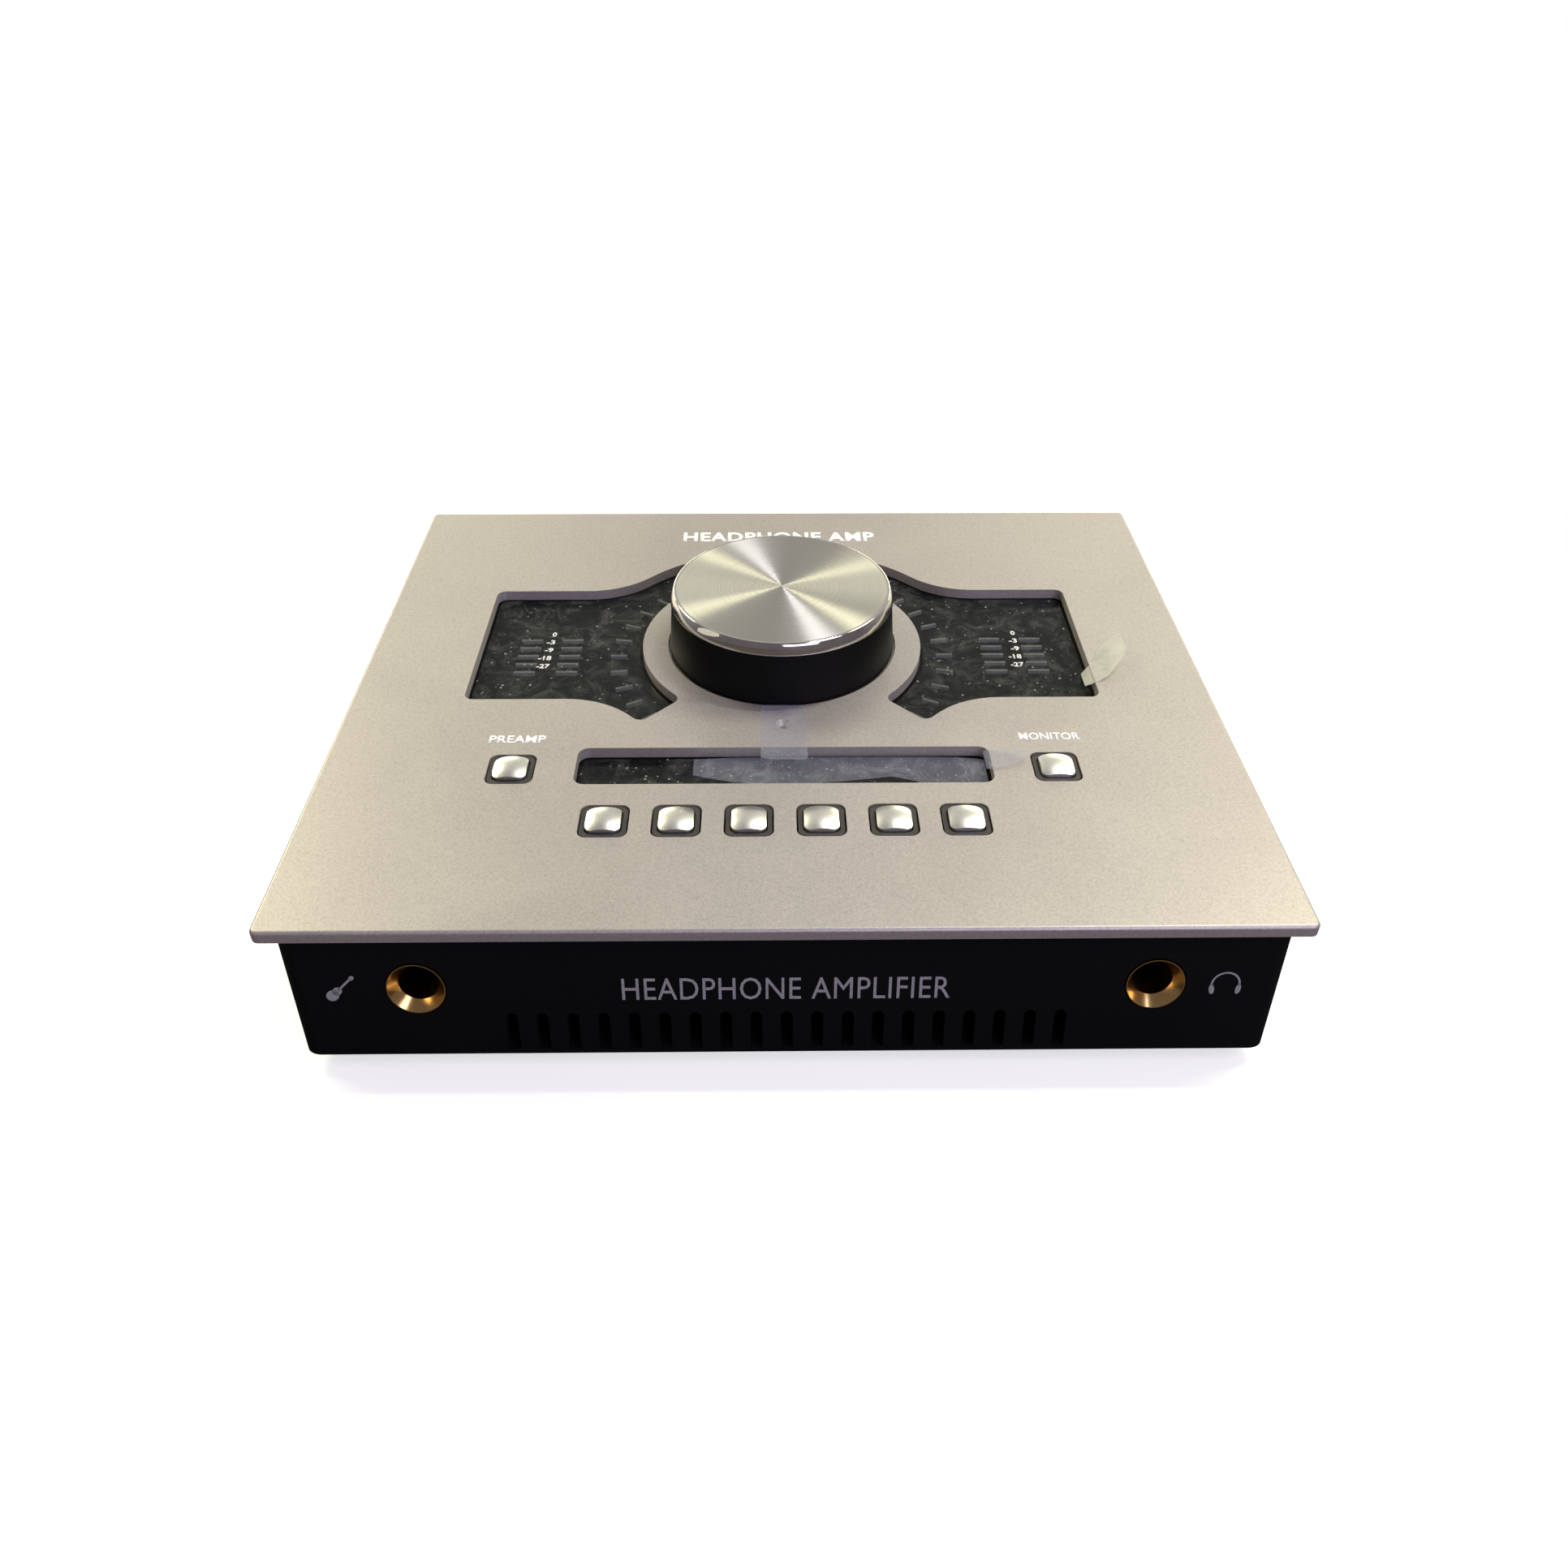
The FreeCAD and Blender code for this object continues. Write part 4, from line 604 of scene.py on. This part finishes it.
print("dressed", len(NODES), "parts in", len(set(FINISHES.values())), "finishes")

# %% [markdown]
# ## The knob's crown
# The crown is a turned aluminium disc: a flat face cut with a fine spiral, and a polished rim.
# The face could be painted with streaks, but spun metal makes them itself from the room's lamps.
# So the face gets a shader whose gloss is stretched across its grooves, and the rim a plain mirror.

# %% Finish for the spun face
face_finish, tree, shader, where = open_finish("spun_aluminium")
from_middle = tree.nodes.new("ShaderNodeVectorMath")
from_middle.operation = "SUBTRACT"
tree.links.new(where, from_middle.inputs[0])
from_middle.inputs[1].default_value = KNOB_MIDDLE
around = tree.nodes.new("ShaderNodeVectorMath")
around.operation = "CROSS_PRODUCT"
around.inputs[0].default_value = UP
tree.links.new(from_middle.outputs["Vector"], around.inputs[1])
to_world = tree.nodes.new("ShaderNodeVectorTransform")
to_world.vector_type = "VECTOR"
to_world.convert_from = "OBJECT"
to_world.convert_to = "WORLD"
tree.links.new(around.outputs["Vector"], to_world.inputs["Vector"])
tree.links.new(to_world.outputs["Vector"], shader.inputs["Tangent"])
reach = tree.nodes.new("ShaderNodeVectorMath")
reach.operation = "LENGTH"
tree.links.new(from_middle.outputs["Vector"], reach.inputs[0])
groove_noise = tree.nodes.new("ShaderNodeTexNoise")
groove_noise.noise_dimensions = "1D"
groove_noise.inputs["Scale"].default_value = 6000.0
groove_noise.inputs["Detail"].default_value = 4.0
tree.links.new(reach.outputs["Value"], groove_noise.inputs["W"])
groove_tone = spread(tree, groove_noise.outputs["Fac"], 0.3, 0.7)
face_colour = mix_colour(tree, groove_tone, (0.72, 0.71, 0.665), (0.90, 0.89, 0.84))
tree.links.new(face_colour, shader.inputs["Base Color"])
face_gloss = spread(tree, groove_noise.outputs["Fac"], 0.3, 0.7, 0.27, 0.32)
tree.links.new(face_gloss, shader.inputs["Roughness"])
set_shader(shader, Metallic=1.0, Anisotropic=1.0, Anisotropic_Rotation=0.25)
add_bump(tree, shader, groove_noise.outputs["Fac"], 0.05, 0.00002)
rim_finish = grained(
    "polished_rim", (0.74, 0.72, 0.70), (0.86, 0.84, 0.82), 1.0,
    (0.05, 0.10), 500.0, 0.01, 0.00002,
)
print("finish", face_finish.name)

# %% [markdown]
# The crown starts as a cylinder as wide as the rim.
# Its top is scaled in to give the sloping rim, and both edges are bevelled.
# A narrow ring is inset round the face, which parts the rim's finish from the spun one.
# Below, the disc is inset and extruded into the spigot that sits in the skirt.

# %% Turn the crown
CROWN_LOW, CROWN_HIGH = 10.15, KNOB_FACE_HIGH
RIM_RADIUS, FACE_RADIUS = 21.75, 20.95
RIM_BEVEL, FOOT_BEVEL, RING_WIDE = 0.28, 0.30, 0.25
SPIGOT_RADIUS, SPIGOT_DEEP = 16.8, 1.0
JUST_UNDER_FACE = (CROWN_HIGH - 0.01) * MM

tidy_selection()
bpy.ops.mesh.primitive_cylinder_add(
    vertices=180,
    radius=RIM_RADIUS * MM,
    depth=(CROWN_HIGH - CROWN_LOW) * MM,
    location=(0.0, KNOB_BACK * MM, (CROWN_HIGH + CROWN_LOW) / 2 * MM),
)
crown = bpy.context.object
crown.name = "knob_crown"
bpy.ops.object.transform_apply(location=True, rotation=True, scale=True)


def select_faces(piece, wanted):
    """In edit mode, select only the faces for which wanted(face) is true."""
    bpy.ops.object.mode_set(mode="EDIT")
    bpy.ops.mesh.select_mode(type="FACE")
    bpy.ops.mesh.select_all(action="DESELECT")
    mesh = bmesh.from_edit_mesh(piece.data)
    for face in [face for face in mesh.faces if wanted(face)]:
        face.select_set(True)
    bmesh.update_edit_mesh(piece.data)


def is_crown_face(normal, middle):
    """True for a face that lies level at the very top of the crown."""
    return normal.z > 0.9999 and middle.z > JUST_UNDER_FACE


middle = (0.0, KNOB_BACK * MM, CROWN_HIGH * MM)
select_faces(crown, lambda face: face.normal.z > 0.9)
bpy.ops.transform.resize(value=(FACE_RADIUS / RIM_RADIUS,) * 3, center_override=middle)
bpy.ops.mesh.bevel(offset=RIM_BEVEL * MM, segments=4, profile=0.5, affect="EDGES")
select_faces(crown, lambda face: face.normal.z < -0.9)
bpy.ops.mesh.bevel(offset=FOOT_BEVEL * MM, segments=4, profile=0.5, affect="EDGES")
select_faces(crown, lambda face: face.normal.z < -0.999)
bpy.ops.mesh.inset(thickness=(RIM_RADIUS - FOOT_BEVEL - SPIGOT_RADIUS) * MM)
bpy.ops.mesh.extrude_region_move(TRANSFORM_OT_translate={"value": (0.0, 0.0, -SPIGOT_DEEP * MM)})
select_faces(crown, lambda face: is_crown_face(face.normal, face.calc_center_median()))
bpy.ops.mesh.inset(thickness=RING_WIDE * MM)
bpy.ops.object.mode_set(mode="OBJECT")
crown.data.materials.append(rim_finish)
crown.data.materials.append(face_finish)
for polygon in crown.data.polygons:
    inside = is_crown_face(polygon.normal, polygon.center)
    polygon.material_index = 1 if inside and len(polygon.vertices) > 4 else 0
take(crown)
bpy.ops.object.shade_smooth_by_angle(angle=math.radians(40))
settle(crown)
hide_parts("knob_cap")
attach(crown, "knob")
print("crown faces", len(crown.data.polygons))

# %% [markdown]
# ## Printing
# Letters and figures are printed in thin ink on the deck, under the windows and on the tray.
# A text object gives the outlines and becomes a mesh, and a hair of thickness lifts the ink.
# One helper sets a word to a wanted width, so the words keep the proportions of the printing.


# %% Inks
def ink(name, dark, light, painted_glow=0.0):
    """Flat screen ink, slightly uneven in colour; a little glow is painted light that brightens it,
    though ink is no lamp.
    """
    material = grained(name, dark, light, 0.0, (0.45, 0.6), 1600.0, 0.1, 0.00003, 0.3)
    shader = material.node_tree.nodes["Principled BSDF"]
    set_shader(shader, Emission_Color=(*light, 1.0), Emission_Strength=painted_glow)
    return material


# The white ink and the figure ink glow a little: painted light that makes the print brighter than the
# lamps alone make it.
white_ink = ink("white_ink", (0.86, 0.85, 0.84), (0.98, 0.97, 0.96), 0.30)
grey_ink = ink("grey_ink", (0.34, 0.345, 0.35), (0.46, 0.465, 0.47))
dim_ink = ink("dim_ink", (0.055, 0.060, 0.058), (0.085, 0.090, 0.088))
figure_ink = ink("figure_ink", (0.84, 0.84, 0.83), (0.98, 0.98, 0.97), 0.10)
INK_THICK = 0.02


def thicken(piece, thick):
    """Give a flat drawing a thickness upward."""
    take(piece)
    skin = piece.modifiers.new("thickness", "SOLIDIFY")
    skin.thickness = thick * MM
    skin.offset = 1.0
    bpy.ops.object.modifier_apply(modifier=skin.name)
    return piece


def word(text, left, right, low, high, level, weight=0.0, tracking=1.0):
    """Printed word that fills a box on its board, left to right and low to high, in millimetres."""
    tidy_selection()
    bpy.ops.object.text_add()
    piece = bpy.context.object
    piece.data.body = text
    piece.data.size = 1.0
    piece.data.offset = weight
    piece.data.space_character = tracking
    piece.data.resolution_u = 3
    bpy.ops.object.convert(target="MESH")
    xs = [corner.co.x for corner in piece.data.vertices]
    ys = [corner.co.y for corner in piece.data.vertices]
    wide = (right - left) * MM / (max(xs) - min(xs))
    tall = (high - low) * MM / (max(ys) - min(ys))
    piece.scale = (wide, tall, 1.0)
    piece.location = (left * MM - min(xs) * wide, low * MM - min(ys) * tall, level * MM)
    bpy.ops.object.transform_apply(location=True, rotation=True, scale=True)
    return thicken(piece, INK_THICK)


def stamp(pieces, name, finish, board=DECK):
    """Join printed pieces into one, lay it on its board and let it ride on the case."""
    tidy_selection()
    for piece in pieces:
        piece.select_set(True)
    bpy.context.view_layer.objects.active = pieces[0]
    if len(pieces) > 1:
        bpy.ops.object.join()
    printed = bpy.context.object
    printed.name = name
    printed.data.materials.clear()
    printed.data.materials.append(finish)
    settle(printed, board)
    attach(printed, "case")
    print(name, "faces", len(printed.data.polygons))


# %% Print the deck
ON_DECK = 0.03
deck_words = [
    word("PREAMP", -52.7, -42.6, -21.4, -19.25, ON_DECK, 0.018),
    word("MONITOR", 42.3, 53.3, -21.2, -19.05, ON_DECK, 0.018),
    word("HEADPHONE AMP", -21.8, 21.4, 54.2, 58.6, ON_DECK, 0.035, 1.08),
]
stamp(deck_words, "deck_printing", white_ink)

# %% Print the front face
FACE_SCALE = 1.0 / math.cos(FACE_LEAN)


def face_high(level):
    """Height on the front board of a height below the deck's top."""
    return (level + DECK_THICK) * FACE_SCALE


ON_FACE = 0.015
FRONT_PRINT_LOW = face_high(-15.3)
FRONT_PRINT_HIGH = face_high(-11.2)
front_words = [
    word("HEADPHONE AMPLIFIER", -25.8, 25.6, FRONT_PRINT_LOW, FRONT_PRINT_HIGH, ON_FACE, 0.0, 1.05)
]
stamp(front_words, "front_printing", grey_ink, FACE)

# %% [markdown]
# Each front socket has a small sign beside it: a guitar on the left and headphones on the right.
# A sign is a few flat patches that overlap, with the same hair of thickness as the letters.


# %% Two signs for the sockets
def patch(x, y, wide, tall, turn=0.0, corners=28):
    """Flat patch of ink: an oval, or a bar when it has four corners."""
    tidy_selection()
    if corners == 4:
        bpy.ops.mesh.primitive_plane_add(size=1.0)
    else:
        bpy.ops.mesh.primitive_circle_add(vertices=corners, radius=0.5, fill_type="NGON")
    piece = bpy.context.object
    piece.scale = (wide * MM, tall * MM, 1.0)
    piece.rotation_euler = (0.0, 0.0, math.radians(turn))
    piece.location = (x * MM, y * MM, ON_FACE * MM)
    bpy.ops.object.transform_apply(location=True, rotation=True, scale=True)
    return thicken(piece, INK_THICK)


def headband(x, y, radius, wide):
    """Upper half of a ring: a disc is inset, and its middle and lower half are deleted."""
    tidy_selection()
    bpy.ops.mesh.primitive_circle_add(vertices=40, radius=radius * MM, fill_type="NGON")
    piece = bpy.context.object
    select_faces(piece, lambda face: True)
    bpy.ops.mesh.inset(thickness=wide * MM)
    cut = -0.15 * radius * MM
    select_faces(piece, lambda face: len(face.verts) > 4 or face.calc_center_median().y < cut)
    bpy.ops.mesh.delete(type="FACE")
    bpy.ops.object.mode_set(mode="OBJECT")
    piece.location = (x * MM, y * MM, ON_FACE * MM)
    bpy.ops.object.transform_apply(location=True, rotation=True, scale=True)
    return thicken(piece, INK_THICK)


guitar = [
    patch(-70.9, FRONT_PRINT_LOW + 1.25, 2.2, 1.9, 45.0),
    patch(-70.1, FRONT_PRINT_LOW + 2.05, 1.7, 1.4, 45.0),
    patch(-68.9, FRONT_PRINT_LOW + 3.25, 3.2, 0.38, 45.0, 4),
    patch(-67.55, FRONT_PRINT_LOW + 4.55, 0.95, 0.75, 45.0),
]
earpieces = [
    headband(68.85, FRONT_PRINT_LOW + 2.3, 2.35, 0.32),
    patch(66.75, FRONT_PRINT_LOW + 1.35, 0.85, 1.9, 8.0),
    patch(70.95, FRONT_PRINT_LOW + 1.35, 0.85, 1.9, -8.0),
]
stamp(guitar, "guitar_sign", grey_ink, FACE)
stamp(earpieces, "headphones_sign", grey_ink, FACE)

# %% [markdown]
# The rear panel carries a plain label for every connector.
# Seen from behind, the deck's X runs to the left, so the rear board is turned half round.

# %% Print the rear panel
REAR_FACE = 65.65
REAR = DECK @ Matrix.Translation(Vector((0.0, REAR_FACE, 0.0)) * MM)
REAR = REAR @ Matrix.Rotation(math.radians(180.0), 4, "Z")
REAR = REAR @ Matrix.Rotation(math.radians(90.0), 4, "X")
REAR_TALL = 1.5
REAR_LABELS = [
    ("MIC / LINE 1", -52.5, -14.6, 15.0),
    ("MIC / LINE 2", -24.0, -14.6, 15.0),
    ("OUT 1", 2.0, -15.6, 7.0),
    ("OUT 3", 20.0, -15.6, 7.0),
    ("OUT 2", 2.0, -33.8, 7.0),
    ("OUT 4", 20.0, -33.8, 7.0),
    ("OPTICAL", 39.0, -15.6, 9.5),
    ("USB", 39.0, -38.6, 4.2),
    ("POWER", 57.0, -13.0, 8.0),
    ("12 V", 57.0, -51.0, 5.0),
]
rear_words = [
    word(text, -x - wide / 2, -x + wide / 2, low, low + REAR_TALL, ON_FACE, 0.01)
    for text, x, low, wide in REAR_LABELS
]
stamp(rear_words, "rear_printing", grey_ink, REAR)

# %% [markdown]
# ### Figures under the windows
# Each meter has a column of level figures between two columns of bars.
# Faint words stand over and under the columns.

# %% Print the meter figures
UNDER_LENS = -3.28
ON_LENS = -1.98
FIGURES = [("0", 0.9), ("-3", 1.7), ("-9", 1.7), ("-18", 2.6), ("-27", 2.6)]
METER_COLUMN = 46.75
BAR_PITCH = 2.93
FIGURE_TALL = 1.6
FIGURE_RIGHT = 1.0

meter_figures = []
for side in (-1, 1):
    right = side * METER_COLUMN + FIGURE_RIGHT
    for row, (text, wide) in enumerate(FIGURES):
        low = KNOB_BACK + BAR_PITCH * (2 - row) - FIGURE_TALL / 2
        high = low + FIGURE_TALL
        meter_figures.append(word(text, right - wide, right, low, high, ON_LENS, 0.03))
stamp(meter_figures, "meter_figures", figure_ink, DECK)

# %% Print the dim words
DIM_WORDS = [
    ("LEVEL", -6.2, -1.6, 21.2),
    ("PEAK", 1.6, 6.2, 21.2),
    ("LEFT", -6.2, -1.8, 1.4),
    ("RIGHT", 1.8, 6.2, 1.4),
]

dim_words = []
for side in (-1, 1):
    column = side * METER_COLUMN
    for text, left, right, low in DIM_WORDS:
        dim_words.append(word(text, column + left, column + right, low, low + FIGURE_TALL, UNDER_LENS))
stamp(dim_words, "dim_words", dim_ink, DECK)

# %% [markdown]
# ## Protective films
# The unit is new, and clear films still lie on its windows.
# A film is a strip that changes its width along the way.
# So it starts as one plane, and its last edge is extruded, widened and moved, step by step.

# %% Finish for the films
film_finish, tree, shader, where = open_finish("clear_film")
film_haze = add_group(tree, dust_group, where, Specks_per_metre=2200.0, Haze=0.5)
film_colour = mix_colour(tree, film_haze.outputs["Mask"], (0.52, 0.55, 0.68), (0.88, 0.89, 0.92))
tree.links.new(film_colour, shader.inputs["Base Color"])
film_veil = spread(tree, film_haze.outputs["Mask"], 0.0, 1.0, 0.13, 0.42)
tree.links.new(film_veil, shader.inputs["Alpha"])
film_smudge = add_group(tree, smudge_group, where, Low=0.10, High=0.28)
tree.links.new(film_smudge.outputs["Roughness"], shader.inputs["Roughness"])
set_shader(shader, IOR=1.5)
film_wave = tree.nodes.new("ShaderNodeTexNoise")
film_wave.inputs["Scale"].default_value = 70.0
film_wave.inputs["Distortion"].default_value = 1.5
tree.links.new(where, film_wave.inputs["Vector"])
add_bump(tree, shader, film_wave.outputs["Fac"], 0.5, 0.0006)
print("finish", film_finish.name)

# %% [markdown]
# Where a film is folded over, it catches the lamps and looks nearly white, so its colour is a painted
# highlight: near white and warm like the lamps.

# %% Finish for folded film, a painted highlight
painted_highlight_film_finish = grained(
    "folded_film_painted_highlight", (0.72, 0.74, 0.60), (0.96, 0.96, 0.84), 0.0,
    (0.12, 0.30), 260.0, 0.5, 0.0005, 0.8,
)
set_shader(painted_highlight_film_finish.node_tree.nodes["Principled BSDF"], Alpha=0.50)
print("finish", painted_highlight_film_finish.name)

# %% Cut the films
FILM_THICK = 0.06


def select_end(piece, reach):
    """In edit mode, select the corners of a strip that lie at its end."""
    bpy.ops.object.mode_set(mode="EDIT")
    bpy.ops.mesh.select_mode(type="VERT")
    bpy.ops.mesh.select_all(action="DESELECT")
    mesh = bmesh.from_edit_mesh(piece.data)
    for corner in mesh.verts:
        corner.select_set(abs(corner.co.x - reach * MM) < 0.001 * MM)
    mesh.select_flush(True)
    bmesh.update_edit_mesh(piece.data)


def strip(name, stations, finish=film_finish, body="case"):
    """Film through stations of x, low y, high y and level, in millimetres on the deck."""
    (start, low, high, level), rest = stations[0], stations[1:]
    tidy_selection()
    bpy.ops.mesh.primitive_plane_add(size=1.0)
    piece = bpy.context.object
    piece.name = name
    wide = rest[0][0] - start
    piece.scale = (wide * MM, (high - low) * MM, 1.0)
    piece.location = ((start + wide / 2) * MM, (low + high) / 2 * MM, level * MM)
    bpy.ops.object.transform_apply(location=True, rotation=True, scale=True)
    at = (rest[0][0], low, high, level)
    for number, (x, new_low, new_high, new_level) in enumerate(rest):
        select_end(piece, at[0])
        if number > 0:
            step = {"value": ((x - at[0]) * MM, 0.0, 0.0)}
            bpy.ops.mesh.extrude_edges_move(TRANSFORM_OT_translate=step)
        centre = (x * MM, (at[1] + at[2]) / 2 * MM, at[3] * MM)
        widen = (new_high - new_low) / (at[2] - at[1])
        bpy.ops.transform.resize(value=(1.0, widen, 1.0), center_override=centre)
        shift = ((new_low + new_high) - (at[1] + at[2])) / 2 * MM
        bpy.ops.transform.translate(value=(0.0, shift, (new_level - at[3]) * MM))
        at = (x, new_low, new_high, new_level)
    bpy.ops.mesh.select_all(action="SELECT")
    bpy.ops.mesh.normals_make_consistent(inside=False)
    bpy.ops.object.mode_set(mode="OBJECT")
    thicken(piece, FILM_THICK)
    bpy.ops.object.shade_smooth_by_angle(angle=math.radians(40))
    piece.data.materials.clear()
    piece.data.materials.append(finish)
    settle(piece)
    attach(piece, body)
    print(name, "faces", len(piece.data.polygons))


strip(
    "mic_film",
    [
        (-4.1, -26.2, -10.4, 0.05),
        (-3.0, -26.6, -10.2, 0.10),
        (3.6, -26.9, -10.2, 0.12),
        (4.2, -26.4, -10.5, 0.05),
    ],
)
strip(
    "display_film",
    [
        (-16.0, -28.6, -24.0, -1.90),
        (-9.0, -30.6, -23.6, -1.88),
        (0.0, -31.6, -23.5, -1.86),
        (11.0, -30.4, -23.5, -1.86),
        (19.0, -29.2, -23.5, -1.88),
        (26.0, -31.6, -23.6, -1.88),
        (31.0, -32.9, -23.7, -1.90),
        (35.6, -31.0, -24.4, -1.90),
    ],
)
strip(
    "display_film_tab",
    [
        (35.2, -29.6, -24.6, 0.10),
        (36.6, -30.0, -24.1, 0.25),
        (40.5, -29.0, -24.6, 0.9),
        (42.0, -28.4, -25.2, 1.2),
        (43.1, -27.4, -26.2, 1.4),
    ],
)
# The two folded tabs get the painted highlight of folded film in their colour.
strip(
    "meter_film_tab",
    [
        (58.0, -2.4, 1.8, -1.2),
        (60.2, -2.8, 3.6, 0.15),
        (62.4, -1.8, 7.8, 0.9),
        (65.6, 2.2, 10.6, 2.2),
        (66.8, 4.6, 10.4, 2.8),
    ],
    painted_highlight_film_finish,
)
strip(
    "knob_film_tab",
    [
        (-15.6, -4.4, -3.2, 12.55),
        (-14.4, -5.6, -3.4, 12.60),
        (-12.6, -6.3, -4.6, 12.60),
        (-11.6, -6.2, -5.4, 12.55),
    ],
    painted_highlight_film_finish,
    "knob",
)
